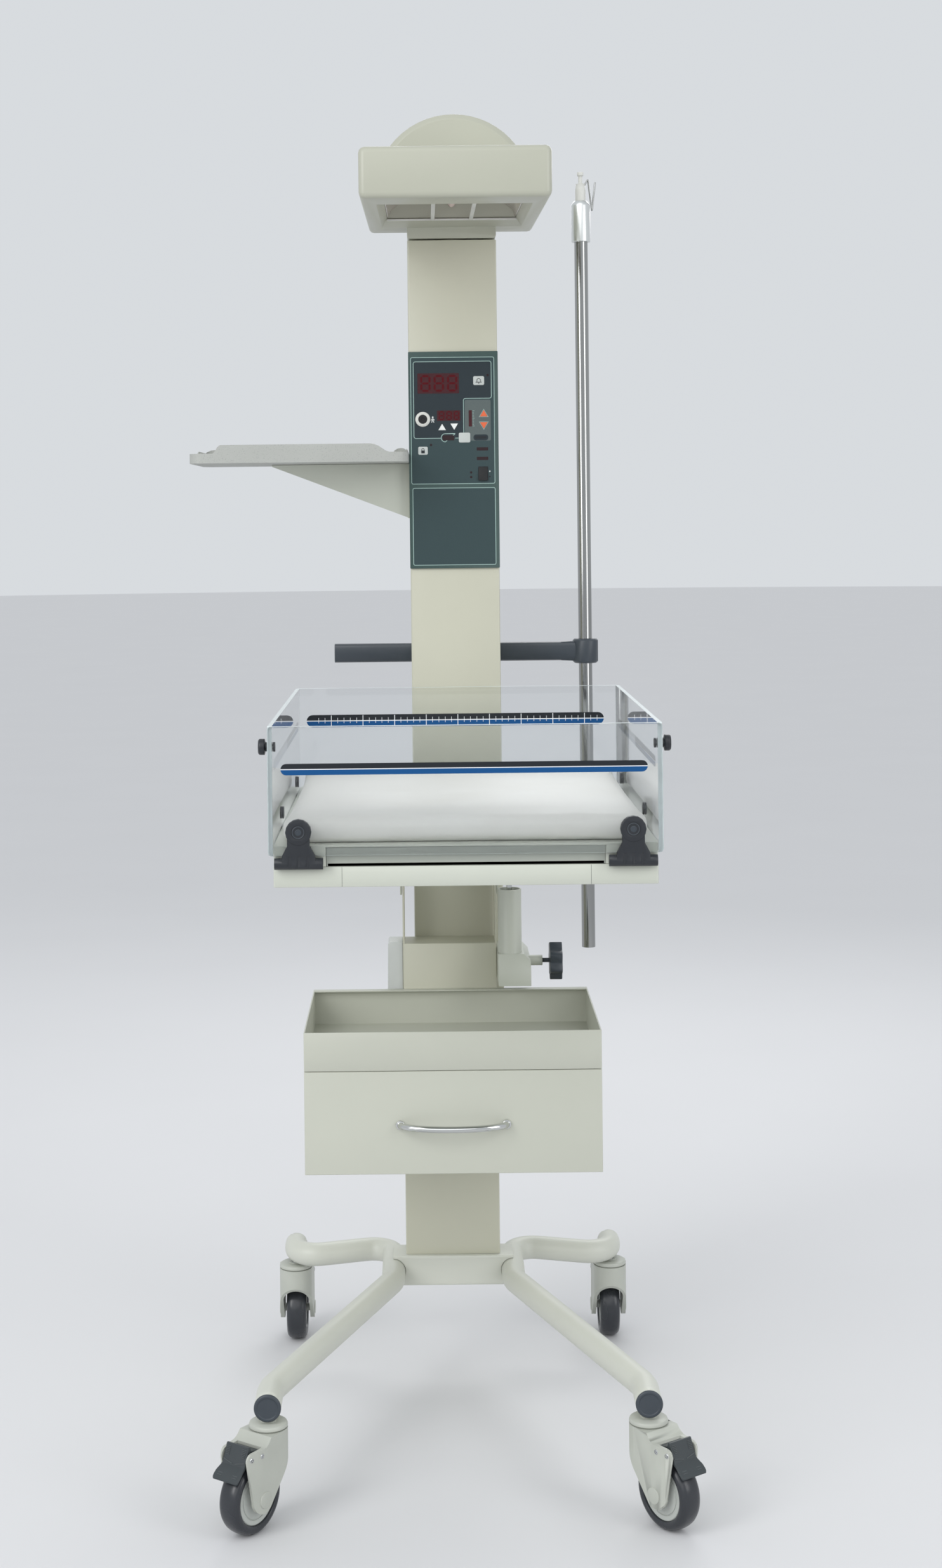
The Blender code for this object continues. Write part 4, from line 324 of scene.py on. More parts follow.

# %% [markdown]
# ## Metals
# The drawer's handle and the strut's rod are chromed, and the infusion pole and its hook are
# polished steel, darker than bare steel: a painted dark reflection, as if a dim room were
# mirrored in it. A low roughness makes the mirror, and long, faint polishing streaks break
# it up. The sleeve on the pole and the heater's reflector are duller. Streaks are noise
# stretched along the pole, which a Mapping node does.


# %% Make the metals
def polished(name, colour, roughness, streak=(400, 400, 6)):
    metal = Finish(name, colour, Metallic=1.0, Roughness=roughness)
    stretched = metal.node("ShaderNodeMapping", {}, {"Vector": metal.place(), "Scale": streak},
                           "Vector")
    streaks = metal.node("ShaderNodeTexNoise", {}, {"Vector": stretched, "Scale": 1.0}, "Fac")
    metal.drive(Roughness=(roughness * 0.6) + streaks * (roughness * 0.9))
    return metal.material


chrome = polished("chrome", (0.60, 0.61, 0.60), 0.10)
# The pole's steel is darker than bare steel: a painted dark reflection.
steel_with_painted_dark_reflection = polished("steel_with_painted_dark_reflection", (0.36, 0.365, 0.36), 0.12, (60, 60, 2))
satin_sleeve = polished("satin_sleeve", (0.74, 0.76, 0.75), 0.28, (300, 300, 3))
screw_steel = polished("screw_steel", (0.55, 0.56, 0.57), 0.25, (90, 90, 90))
reflector_metal = polished("reflector_metal", (0.86, 0.80, 0.78), 0.22, (60, 5, 60))
print("polished 5 metals")

# %% [markdown]
# ## Clear materials and displays
# The bassinet's panels are cast acrylic, which is glass-clear with a slightly milky cut
# edge. A look along a panel would pass through far more acrylic than a render follows, so
# the cut edges get a pale finish of their own: partly the milky edge, partly painted light
# for the light carried along the panel. The displays are dark red windows, and the heater
# tube is frosted quartz.

# %% Make the clear materials
clear = Finish("clear_acrylic", (0.97, 0.985, 0.99), Roughness=0.015, IOR=1.40,
               Transmission_Weight=1.0)
clear.drive(Roughness=0.01 + clear.grain(0.04, 2) * 0.02)
clear_acrylic = clear.material


def mottled(name, base, size, dark, light, detail=2.0, **constants):
    """A finish whose colour drifts between two tones."""
    made = Finish(name, base, **constants)
    made.drive(Base_Color=made.blend(made.grain(size, detail), dark, light))
    return made.material


# The pale cut edge is partly the milky edge and partly painted light, for the light carried along
# the panel.
edge_painted_light = mottled("acrylic_cut_edge_and_painted_light", (0.66, 0.73, 0.73), 0.02, (0.60, 0.67, 0.67),
                       (0.76, 0.82, 0.82), 3, Roughness=0.22)
quartz_glass = mottled("frosted_quartz", (0.88, 0.70, 0.64), 0.02, (0.80, 0.58, 0.52),
                       (0.92, 0.80, 0.76), Roughness=0.35)
display_window = mottled("display_window", (0.045, 0.004, 0.006), 0.004, (0.030, 0.002, 0.004),
                         (0.070, 0.006, 0.010), Roughness=0.12)
display_digit = mottled("display_digit", (0.085, 0.004, 0.008), 0.002, (0.075, 0.003, 0.006),
                        (0.100, 0.005, 0.009), Roughness=0.6, Specular_IOR_Level=0.15)
print("made the clear materials and the displays")

# %% [markdown]
# ## Printed surfaces
# The control panel is a printed film: a dark slate field with pale rules. The stripes on the
# bassinet's panels are printed too. Print is matt and even, so these finishes only carry a
# faint weave of the screen they were printed through.


# %% Make the printed finishes
def printed(name, colour, roughness=0.45):
    ink = Finish(name, colour, Roughness=roughness, Specular_IOR_Level=0.3)
    weave = ink.grain(0.0009, 1)
    ink.drive(Base_Color=ink.blend(weave, shade(colour, 0.90), shade(colour, 1.10)))
    ink.drive(Normal=ink.bump(weave, 0.00001, 0.4))
    return ink.material


panel_film = printed("panel_film", (0.055, 0.092, 0.086))
panel_field = printed("panel_field", (0.036, 0.062, 0.066))
panel_slate = printed("panel_slate", (0.022, 0.033, 0.040))
panel_grey = printed("panel_grey", (0.105, 0.130, 0.128))
panel_rule = printed("panel_rule", (0.38, 0.53, 0.49))
panel_white = printed("panel_white", (0.74, 0.76, 0.75))
panel_dark = printed("panel_dark", (0.018, 0.022, 0.026))
lamp_off = printed("lamp_off", (0.030, 0.016, 0.018), 0.2)
stripe_black = printed("stripe_black", (0.012, 0.015, 0.020))
stripe_white = printed("stripe_white", (0.80, 0.82, 0.84))
stripe_blue = printed("stripe_blue", (0.000, 0.066, 0.215))
print("the scene has", len(bpy.data.materials), "materials now")

# %% [markdown]
# ## Softening the solids
# A solid with razor edges looks like a toy, because every real edge catches a thin line of
# light. Each rigid node is copied, its facets are merged back into whole faces, and a small
# bevel is put on its edges. The copy rides on the same body and stands for the node. Tubes
# and knobs are subdivided instead, with a crease where the solid has a true corner.

# %% Copy a node with soft edges
SAME_CORNER = 0.00001
FLAT, FACET, CORNER = (math.radians(angle) for angle in (1, 12, 40))
CREASE, ROUND_LEVELS = 0.85, 2


def body_of(node):
    return nodes[node]["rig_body"]


def joined(node):
    """The node's mesh, with its shared corners joined."""
    bm = bmesh.new()
    bm.from_mesh(nodes[node].data)
    bmesh.ops.remove_doubles(bm, verts=bm.verts, dist=SAME_CORNER)
    return bm


def finished_mesh(name, bm):
    mesh = bpy.data.meshes.new(name)
    bm.to_mesh(mesh)
    bm.free()
    return mesh


def soft_piece(name, mesh, finish, node, width, segments=2, angle=35):
    """Set a mesh in place of a node, with a small bevel on its edges."""
    opaque = finish != clear_acrylic
    mesh.materials.append(finish)
    if opaque:
        mesh.shade_smooth()
    piece = put(name, mesh)
    bevel = piece.modifiers.new("soft edges", "BEVEL")
    bevel.width = width
    bevel.segments = segments
    bevel.limit_method = "ANGLE"
    bevel.angle_limit = math.radians(angle)
    bevel.harden_normals = opaque
    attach(piece, body_of(node))
    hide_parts(node)


def soften(node, finish, width):
    """A copy whose facets are merged back into whole faces, with soft edges."""
    bm = joined(node)
    bmesh.ops.dissolve_limit(bm, angle_limit=FLAT, verts=bm.verts, edges=bm.edges)
    soft_piece(node + "_soft", finished_mesh(node + "_soft", bm), finish, node, width)


def rounded(node, finish):
    """A copy whose coarse facets are smoothed into a true round by subdivision."""
    bm = joined(node)
    bmesh.ops.join_triangles(bm, faces=bm.faces, angle_face_threshold=FACET,
                             angle_shape_threshold=math.radians(180))
    creases = bm.edges.layers.float.new("crease_edge")
    for edge in bm.edges:
        if len(edge.link_faces) == 2 and edge.calc_face_angle() > CORNER:
            edge[creases] = CREASE
    mesh = finished_mesh(node + "_round", bm)
    mesh.materials.append(finish)
    mesh.shade_smooth()
    piece = put(node + "_round", mesh)
    subdivision = piece.modifiers.new("round", "SUBSURF")
    subdivision.levels = subdivision.render_levels = ROUND_LEVELS
    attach(piece, body_of(node))
    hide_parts(node)


def paint_where(piece, finish, test):
    """Give another finish to the faces that pass the test."""
    piece.data.materials.append(finish)
    slot = len(piece.data.materials) - 1
    for polygon in piece.data.polygons:
        if test(polygon):
            polygon.material_index = slot


# %% [markdown]
# The tables below say which finish each node gets and how wide its soft edge is. Folded
# sheet has a radius of about a millimetre, and mouldings have a little more.

# %% Give every rigid node its finish
HINGE_EDGE, KEY_EDGE = 0.0005, 0.0003
KEY_FINISHES = {"output": key_orange, "set": key_white}
SOFT_EDGES = {
    "base_crossmember": (base_paint, 0.0012),
    "lower_column": (column_paint, 0.0010),
    "upper_column": (column_paint, 0.0008),
    "mains_box": (box_plastic, 0.0012),
    "tilt_strut": (frame_paint, 0.0006),
    "drawer_case": (drawer_paint, 0.0004),
    "drawer": (drawer_paint, 0.0006),
    "shelf_bracket": (frame_paint, 0.0006),
    "accessory_rail": (slate_plastic, 0.0005),
    "control_panel": (panel_film, 0.0003),
    "hood_shell": (hood_paint, 0.0010),
    "hood_drum": (hood_paint, 0.0010),
    "heater_reflector": (reflector_metal, 0.0003),
    "heater_guard": (white_plastic, 0.0006),
    "bassinet_frame": (frame_paint, 0.0006),
    "mattress_deck": (frame_paint, 0.0006),
    "cassette_tray": (painted_shade_tray_coat, 0.0005),
    "front_panel": (clear_acrylic, 0.0005),
    "rear_panel": (clear_acrylic, 0.0005),
    "left_panel": (clear_acrylic, 0.0004),
    "right_panel": (clear_acrylic, 0.0004),
    "rocker_switch": (rocker_plastic, 0.0004),
    "clamp_knob": (slate_plastic, 0.0012),
}
ROUND_NODES = {
    "leg_tube_left": base_paint,
    "leg_tube_right": base_paint,
    "tube_cap_left": slate_plastic,
    "tube_cap_right": slate_plastic,
    "pole_extension": white_plastic,
    "strut_rod": chrome,
    "drawer_handle": chrome,
    "heater_tube": quartz_glass,
    "left_latch_knob": hinge_plastic,
    "right_latch_knob": hinge_plastic,
}
for node, (finish, width) in SOFT_EDGES.items():
    soften(node, finish, width)
for node in nodes:
    if "_hinge_" in node:
        soften(node, hinge_plastic, HINGE_EDGE)
    if node.endswith("_key"):
        soften(node, KEY_FINISHES.get(node.split("_")[0], key_grey), KEY_EDGE)
for node, finish in ROUND_NODES.items():
    rounded(node, finish)
# The panels' cut edges get the pale edge finish, which is partly painted light.
for side, thin in (("front", 1), ("rear", 1), ("left", 0), ("right", 0)):
    paint_where(bpy.data.objects[side + "_panel_soft"], edge_painted_light,
                lambda face: abs(face.normal[thin]) < 0.5)
print("dressed", len(SOFT_EDGES), "sheet and moulded nodes and", len(ROUND_NODES), "round ones")


# %% [markdown]
# ## Shapes that the details share
# Two small makers serve most of the details: a turned shape, which is a profile spun about
# an axis, and a thin plate cut to an outline. Both give closed meshes.

# %% Turn a profile and cut a plate
SHARP = math.radians(35)
UPRIGHT = Matrix.Rotation(math.radians(-90), 4, "Y")


def new_piece(name, bm, finish, body, matrix=Matrix.Identity(4)):
    """A piece of its own that rides on a body. Its closed shapes get outward normals."""
    bmesh.ops.recalc_face_normals(bm, faces=bm.faces)
    mesh = finished_mesh(name, bm)
    mesh.transform(matrix)
    mesh.materials.append(finish)
    mesh.shade_smooth()
    mesh.set_sharp_from_angle(angle=SHARP)
    piece = put(name, mesh)
    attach(piece, body)
    return piece


def turned(profile, steps=48, bm=None, matrix=Matrix.Identity(4)):
    """Spin (radius, distance along x) pairs about the x axis."""
    bm = bm or bmesh.new()
    rings = []
    for radius, along in profile:
        count = steps if radius > 0 else 1
        rings.append([bm.verts.new(matrix @ Vector((along,
                                                    radius * math.cos(math.tau * i / steps),
                                                    radius * math.sin(math.tau * i / steps))))
                      for i in range(count)])
    pairs = list(zip(rings, rings[1:]))
    if profile[0][0] > 0 and profile[-1][0] > 0:
        pairs.append((rings[-1], rings[0]))
    for low, high in pairs:
        for i in range(steps):
            j = (i + 1) % steps
            corners = [low[i % len(low)], low[j % len(low)], high[j % len(high)],
                       high[i % len(high)]]
            bm.faces.new(list(dict.fromkeys(corners)))
    return bm


def skin(bm, first, second):
    """Close two rings of corners into a solid."""
    bm.faces.new(first)
    bm.faces.new(second[::-1])
    for i in range(len(first)):
        j = (i + 1) % len(first)
        bm.faces.new((first[i], second[i], second[j], first[j]))


def plate(bm, outline, face_y, proud):
    """Add a thin plate on a face that looks towards -y. The outline is in x and z."""
    near, far = ([bm.verts.new((x, y, z)) for x, z in outline]
                 for y in (face_y - proud, face_y))
    skin(bm, near, far)
    return bm


def rectangle(left, right, first, last):
    """The corners of an outline between two sides and two levels."""
    return [(left, first), (right, first), (right, last), (left, last)]


# %% [markdown]
# ## Castor wheels
# Each wheel is a grey hub with a turned groove, inside a dark polyurethane tyre that bulges
# a little and has a smooth crown. The joint of the wheel gives its centre and its axle, so
# the turned parts drop straight into place.

# %% Turn the wheels
CASTORS = ("front_left", "front_right", "rear_left", "rear_right")
TYRE_HALF = [(0.0365, 0.0125), (0.0373, 0.0150), (0.0390, 0.0161), (0.0418, 0.0163),
             (0.0446, 0.0154), (0.0468, 0.0137), (0.0486, 0.0108), (0.0496, 0.0068),
             (0.0500, 0.0024)]
HUB_HALF = [(0, 0.0200), (0.0062, 0.0200), (0.0062, 0.0150), (0.0150, 0.0146),
            (0.0160, 0.0138), (0.0278, 0.0130), (0.0284, 0.0118), (0.0292, 0.0118),
            (0.0298, 0.0130), (0.0352, 0.0134), (0.0363, 0.0126)]


def joint_place(name):
    return Vector(joints[name]["pos_m"])


def joint_frame(name):
    """A frame at a joint, with x along its axis and z up."""
    across = Vector(joints[name]["axis"]).normalized()
    ahead = Vector((0, 0, 1)).cross(across).normalized()
    turn = Matrix((across, ahead, across.cross(ahead))).transposed().to_4x4()
    return Matrix.Translation(joint_place(name)) @ turn


def mirrored(half):
    """A profile that goes from one face of the wheel to the other."""
    return half + [(radius, -along) for radius, along in reversed(half)]


for word in CASTORS:
    node = "castor_wheel_" + word
    place = joint_frame("wheel_spin_" + word)
    tyre = new_piece("tyre_" + word, turned(mirrored(TYRE_HALF), 72), tyre_rubber,
                     body_of(node), place)
    new_piece("hub_" + word, turned(mirrored(HUB_HALF), 64), hub_plastic, body_of(node), place)
    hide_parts(node)
print("turned", len(CASTORS), "wheels of", 2 * TYRE_HALF[-1][0], "m")


# %% [markdown]
# ## Castor forks
# A castor fork is one moulding. From the side it has a raked back, a round foot over the
# axle and a nose that carries the pedal. From above it is a half round that widens towards
# the wheel. It could be modelled by pulling at a box, but its curves are easier to draw. So
# the fork is what two prisms share, one cut to the side outline and one to the plan, less
# the room for the wheel. Each prism reaches past what it cuts. Everything is drawn in the
# fork's own frame, with z up the swivel and the wheel trailing towards -y.


# %% Prisms and what they share
def arc_points(centre, radius, start, end, steps):
    """Points along an arc, from one angle in degrees to another."""
    points = []
    for i in range(steps + 1):
        angle = math.radians(start + (end - start) * i / steps)
        points.append((centre[0] + radius * math.cos(angle), centre[1] + radius * math.sin(angle)))
    return points


def round_box(left, right, low, high, radius, steps):
    """The outline of a box with round corners."""
    points = []
    for x, y, start in ((right - radius, low + radius, -90), (right - radius, high - radius, 0),
                        (left + radius, high - radius, 90), (left + radius, low + radius, 180)):
        points += arc_points((x, y), radius, start, start + 90, steps)
    return points


def prism(outline, axis, low, high):
    """An outline pushed along x, y or z. The outline is in the other two, in that order."""
    bm = bmesh.new()
    rings = []
    for level in (low, high):
        spots = {"x": lambda a, b: (level, a, b), "y": lambda a, b: (a, level, b),
                 "z": lambda a, b: (a, b, level)}
        rings.append([bm.verts.new(spots[axis](a, b)) for a, b in outline])
    skin(bm, *rings)
    bmesh.ops.recalc_face_normals(bm, faces=bm.faces)
    return finished_mesh("prism", bm)


def combine(first, *steps):
    """Join, cut or intersect meshes in turn. Each step is an operation and a mesh."""
    holder = put("holder", first)
    tools = []
    for operation, mesh in steps:
        tools.append(put("tool", mesh))
        modifier = holder.modifiers.new(operation, "BOOLEAN")
        modifier.operation = operation
        modifier.object = tools[-1]
        modifier.solver = "EXACT"
    depsgraph = bpy.context.evaluated_depsgraph_get()
    result = bpy.data.meshes.new_from_object(holder.evaluated_get(depsgraph))
    for extra in [holder] + tools:
        bpy.data.objects.remove(extra)
    return result


def moulded_piece(name, mesh, matrix, finish, node, width):
    """A copy of a mesh, set down by a matrix, with well rounded edges, in place of a node."""
    copy = mesh.copy()
    copy.transform(matrix)
    copy.materials.clear()
    soft_piece(name, copy, finish, node, width, 3, 30)


# %% Draw the fork
FORK_HALF, FORK_SLOT, NECK = 0.0284, 0.0213, 0.0268
FORK_TOP, CAP_TOP, STEM_TOP = 0.1300, 0.1382, 0.1405
AXLE_HEIGHT, WHEEL_ROOM = 0.050, 0.0535
FOOT_RADIUS, NOSE_RADIUS = 0.0195, 0.010
RAKE_START, SLOT_FRONT, TUNNEL_TOP = 0.101, -0.040, 0.0965
FORK_EDGE = 0.0018


def swivel_and_axle(word):
    """Where a castor's swivel and its wheel's axle are, brought down to the floor."""
    places = [joint_place("castor_swivel_" + word), joint_place("wheel_spin_" + word)]
    return [Vector((place.x, place.y, 0)) for place in places]


def fork_frame(word):
    stem, axle = swivel_and_axle(word)
    back = (stem - axle).normalized()
    up = Vector((0, 0, 1))
    turn = Matrix((back.cross(up), back, up)).transposed().to_4x4()
    return Matrix.Translation(stem) @ turn


front_stem, front_axle = swivel_and_axle("front_left")
TRAIL = (front_axle - front_stem).length
NOSE = TRAIL + 0.033
side_outline = [(-NECK, FORK_TOP), (NECK, FORK_TOP), (NECK, RAKE_START)]
side_outline += arc_points((-TRAIL - 0.0025, 0.052), FOOT_RADIUS, -42, -180, 12)
side_outline += arc_points((NOSE_RADIUS - NOSE, 0.109), NOSE_RADIUS, 180, 90, 6)
side_outline += [(-0.045, 0.1190), (-0.0392, 0.1197), (-0.0345, 0.1218), (-0.0305, 0.1254)]
plan_outline = arc_points((0, 0), NECK, 0, 180, 32)
nose_line = [(FORK_HALF * across, -NOSE * along) for across, along in
             ((1.0, 0.50), (0.985, 0.66), (0.925, 0.83), (0.86, 0.96), (0.78, 1.03))]
plan_outline += [(-x, y) for x, y in nose_line] + nose_line[::-1]
tunnel = arc_points((0, TUNNEL_TOP - FORK_SLOT), FORK_SLOT, 0, 180, 16)
tunnel = [(FORK_SLOT, -0.01)] + tunnel + [(-FORK_SLOT, -0.01)]
wheel_room = arc_points((-TRAIL, AXLE_HEIGHT), WHEEL_ROOM, 0, 354, 59)
fork_mesh = combine(prism(side_outline, "x", -0.05, 0.05),
                    ("INTERSECT", prism(plan_outline, "z", -0.01, 0.2)),
                    ("DIFFERENCE", prism(rectangle(-FORK_SLOT, FORK_SLOT, -0.2, SLOT_FRONT),
                                         "z", -0.02, 0.2)),
                    ("DIFFERENCE", prism(tunnel, "y", -0.045, 0.05)),
                    ("DIFFERENCE", prism(wheel_room, "x", -FORK_SLOT, FORK_SLOT)))
print("drew the fork, which trails by", round(TRAIL, 4), "m")

# %% [markdown]
# On each fork sit a turned swivel cap, the stem above it, a cap over each end of the axle
# and four small screws. They are turned like the wheel. A turned shape lies along x, so it
# is stood upright for the cap and the stem, and faced outwards for what is on the sides.

# %% Set down the forks with their fittings
CAP = [(0, FORK_TOP - 0.001), (0.0236, FORK_TOP - 0.001), (0.0238, FORK_TOP + 0.0012),
       (0.0258, FORK_TOP + 0.0012), (NECK, FORK_TOP + 0.0022), (NECK, CAP_TOP - 0.0038),
       (0.0256, CAP_TOP - 0.0014), (0.0230, CAP_TOP), (0.0110, CAP_TOP),
       (0.0100, CAP_TOP + 0.0008), (0, CAP_TOP + 0.0008)]
STEM = [(0, CAP_TOP), (0.0075, CAP_TOP), (0.0075, STEM_TOP), (0, STEM_TOP)]
AXLE_CAP = [(0, 0.0011), (0.0098, 0.0011), (0.0108, 0.0007), (0.0112, 0), (0.0112, -0.0010),
            (0, -0.0010)]
SCREW = [(0, 0.0012), (0.0011, 0.0012), (0.0013, 0.0005), (0.0021, 0.0005), (0.0024, 0.0012),
         (0.0032, 0.0008), (0.0038, -0.0006), (0, -0.0006)]
SCREW_PLACES = ((0.0276, -0.046, 0.1110, 2), (0.0250, 0.0085 - NOSE, 0.1105, 11))


def outwards(hand, lean=0):
    """A turn that faces out of the fork's side and leans back by some degrees."""
    return Matrix.Rotation(math.radians(-lean if hand > 0 else 180 + lean), 4, "Z")


for word in CASTORS:
    node = "castor_fork_" + word
    body = body_of(node)
    here = fork_frame(word)
    moulded_piece("fork_" + word, fork_mesh, here, castor_plastic, node, FORK_EDGE)
    new_piece("swivel_cap_" + word, turned(CAP, 64, matrix=here @ UPRIGHT), castor_plastic, body)
    new_piece("swivel_stem_" + word, turned(STEM, 24, matrix=here @ UPRIGHT), screw_steel, body)
    caps = bmesh.new()
    heads = bmesh.new()
    for hand in (-1, 1):
        axle_end = Matrix.Translation((hand * FORK_HALF, -TRAIL, AXLE_HEIGHT))
        turned(AXLE_CAP, 40, caps, here @ axle_end @ outwards(hand))
        for x, y, z, lean in SCREW_PLACES:
            spot = Matrix.Translation((hand * x, y, z))
            turned(SCREW, 24, heads, here @ spot @ outwards(hand, lean))
    new_piece("axle_caps_" + word, caps, castor_plastic, body)
    new_piece("fork_screws_" + word, heads, screw_steel, body)
print("moulded", len(CASTORS), "forks")

# %% [markdown]
# ## Brake pedals
# A pedal rocks in the nose of each front fork: its upper lobe frees the wheel, and its lower
# lobe, which flares past the fork, brakes it. It is made as the fork is, from a side outline
# and a plan, drawn from its hinge. Short raised ribs on its two flats give the shoe a grip.
# Their paler tone is a painted highlight along their crests.

# %% Mould the pedals and their ribs
CREST, KNEE, TOE = (-0.0171, 0.0140), (-0.0270, -0.0099), (-0.0450, -0.0238)
PEDAL_SIDE = [(0.0045, 0.0050), (-0.0117, 0.0082), (-0.0130, 0.0132), (-0.0150, 0.0142), CREST,
              (-0.0203, 0.0055), KNEE, (-0.0369, -0.0165), TOE, (-0.0453, -0.0262),
              (-0.0442, -0.0264), (-0.0400, -0.0224), (-0.0328, -0.0174), (-0.0229, -0.0123),
              (-0.0166, -0.0028), (0.0045, -0.0050)]
PEDAL_PLAN = [(0.0192, 0.010), (0.0192, -0.024), (0.0200, -0.030), (0.0218, -0.037),
              (0.0222, -0.0415), (0.0216, -0.0440), (0.0195, -0.0456), (0.017, -0.047)]
PEDAL_EDGE = 0.0010
RIB_PROUD, RIB_SUNK = 0.0007, 0.0002
pedal_plan = PEDAL_PLAN + [(-x, y) for x, y in PEDAL_PLAN[::-1]]
pedal_mesh = combine(prism(PEDAL_SIDE, "x", -0.03, 0.03),
                     ("INTERSECT", prism(pedal_plan, "z", -0.1, 0.1)))


def rib(bm, here, flat, start, end, wide=0.0008):
    """A raised bar on a flat of the pedal. Each end is an x and a share of the flat."""
    (y0, z0), (y1, z1) = flat
    along = Vector((0, y1 - y0, z1 - z0)).normalized()
    out = Vector((0, along.z, -along.y))
    section = ((-wide / 2, -RIB_SUNK), (-wide / 3, RIB_PROUD), (wide / 3, RIB_PROUD),
               (wide / 2, -RIB_SUNK))
    rings = []
    for x, share in (start, end):
        middle = Vector((x, y0 + (y1 - y0) * share, z0 + (z1 - z0) * share))
        rings.append([bm.verts.new(here @ (middle + along * a + out * b)) for a, b in section])
    skin(bm, *rings)


for side in ("left", "right"):
    node = "brake_pedal_" + side
    hinge = Matrix.Translation(joint_place("pedal_tilt_" + side))
    here = hinge @ fork_frame("front_" + side).to_3x3().to_4x4()
    moulded_piece("pedal_" + side, pedal_mesh, here, pedal_plastic, node, PEDAL_EDGE)
    ribs = bmesh.new()
    for hand in (-1, 1):
        for index in range(6):
            share = 0.14 + 0.080 * index
            rib(ribs, here, (CREST, KNEE), (hand * 0.0105, share),
                (hand * (0.0176 - 0.0004 * index), share), 0.0007)
        for index in range(3):
            share = 0.46 + 0.15 * index
            rib(ribs, here, (KNEE, TOE), (hand * 0.0090, share), (hand * 0.0165, share))
        rib(ribs, here, (CREST, KNEE), (hand * 0.0025, 0.93), (hand * 0.0182, 0.78), 0.0010)
    # The ribs' paler finish is a painted highlight.
    new_piece("pedal_ribs_" + side, ribs, rib_painted_highlight, body_of(node))
print("moulded 2 pedals")

# %% [markdown]
# ## Hinge discs
# Each panel hinge ends in a disc with a shallow recess, in which a raised ring and a boss
# stand. Both are turned, and one loop sets them in every hinge, on the side that looks out.

# %% Set the rings and bosses in the hinge discs
RECESS, DISC_HEIGHT = 0.0010, 0.0487
BOSS = [(0, 0.0006), (0.0012, 0.0006), (0.0014, 0.0002), (0.0030, 0.0002), (0.0033, 0.0007),
        (0.0040, 0.0005), (0.0043, -0.0002), (0, -0.0002)]
RING = [(0.0070, -0.0002), (0.0071, 0.0004), (0.0076, 0.0006), (0.0081, 0.0004),
        (0.0082, -0.0002)]
hinges = [node for node in nodes if "_hinge_" in node]
for node in hinges:
    low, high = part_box(node)
    middle = (low + high) / 2
    x, y, turn = {"front": (middle.x, low.y + RECESS, -90),
                  "left": (low.x + RECESS, middle.y, 180),
                  "right": (high.x - RECESS, middle.y, 0)}[node.split("_")[0]]
    here = (Matrix.Translation((x, y, low.z + DISC_HEIGHT))
            @ Matrix.Rotation(math.radians(turn), 4, "Z"))
    disc = turned(BOSS, 28, matrix=here)
    turned(RING, 36, disc, here)
    new_piece("disc_of_" + node, disc, slate_plastic, body_of(node))
print("finished", len(hinges), "hinge discs")

# %% [markdown]
# ## Shelf
# The shelf is a moulded tray. Its front rim drops near both ends, and behind each drop the
# rear rim rises in a round lobe. A rim like this could be bent by hand, but cutting it keeps
# its walls upright: a full tray is hollowed, and one prism takes away what lies above the
# rim's line at each end, once for the front half and once for the rear half.

# %% Mould the shelf
LOBE_SHARES = ((0.0, -1.0), (0.05, -0.62), (0.16, -0.28), (0.32, -0.06), (0.5, 0.0),
               (0.68, -0.08), (0.84, -0.30), (0.95, -0.62), (1.0, -0.86))
RISE_SHARES = ((0.18, -0.86), (0.35, -0.62), (0.55, -0.30), (0.78, -0.08), (1.0, 0.0))
RIM_DROP, SHELF_WALL, SHELF_CORNER, SHELF_EDGE = 0.0135, 0.004, 0.020, 0.0014
PAST = 0.01
shelf_low, shelf_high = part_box("instrument_shelf")
RIM_ENDS = ((shelf_low.x, 1, 0.0385, 0.0125), (shelf_high.x, -1, 0.030, 0.0305))


def shelf_plan(inset):
    return round_box(shelf_low.x + inset, shelf_high.x - inset, shelf_low.y + inset,
                     shelf_high.y - inset, SHELF_CORNER - inset, 8)


def rim_cut(end_x, inward, lobe, rise, front):
    """What the rim loses near one end, at the front or at the rear."""
    top = shelf_high.z
    outline = [(end_x - inward * PAST, top + PAST), (end_x - inward * PAST, top - RIM_DROP)]
    if front:
        outline.append((end_x + inward * lobe, top - RIM_DROP))
    else:
        outline += [(end_x + inward * lobe * along, top + RIM_DROP * up)
                    for along, up in LOBE_SHARES]
    outline += [(end_x + inward * (lobe + rise * along), top + RIM_DROP * up)
                for along, up in RISE_SHARES]
    outline.append((end_x + inward * (lobe + rise), top + PAST))
    middle = (shelf_low.y + shelf_high.y) / 2
    near, far = (shelf_low.y - PAST, middle) if front else (middle, shelf_high.y + PAST)
    return prism(outline, "y", near, far)


hollow = prism(shelf_plan(SHELF_WALL), "z", shelf_low.z + SHELF_WALL, shelf_high.z + 2 * PAST)
cuts = [hollow] + [rim_cut(*end, front) for end in RIM_ENDS for front in (True, False)]
shelf_mesh = combine(prism(shelf_plan(0), "z", shelf_low.z, shelf_high.z),
                     *[("DIFFERENCE", cut) for cut in cuts])
moulded_piece("shelf_moulding", shelf_mesh, Matrix.Identity(4), shelf_plastic,
              "instrument_shelf", SHELF_EDGE)
print("shelf", [round(value, 4) for value in shelf_high - shelf_low])

# %% [markdown]
# ## Infusion pole
# The pole is a steel tube, and a wider satin sleeve with a softened rim sits on its top
# end. A cylinder would do for the tube, but one turned profile gives tube, step and rim at
# once. The faces above the step then get the sleeve's finish.

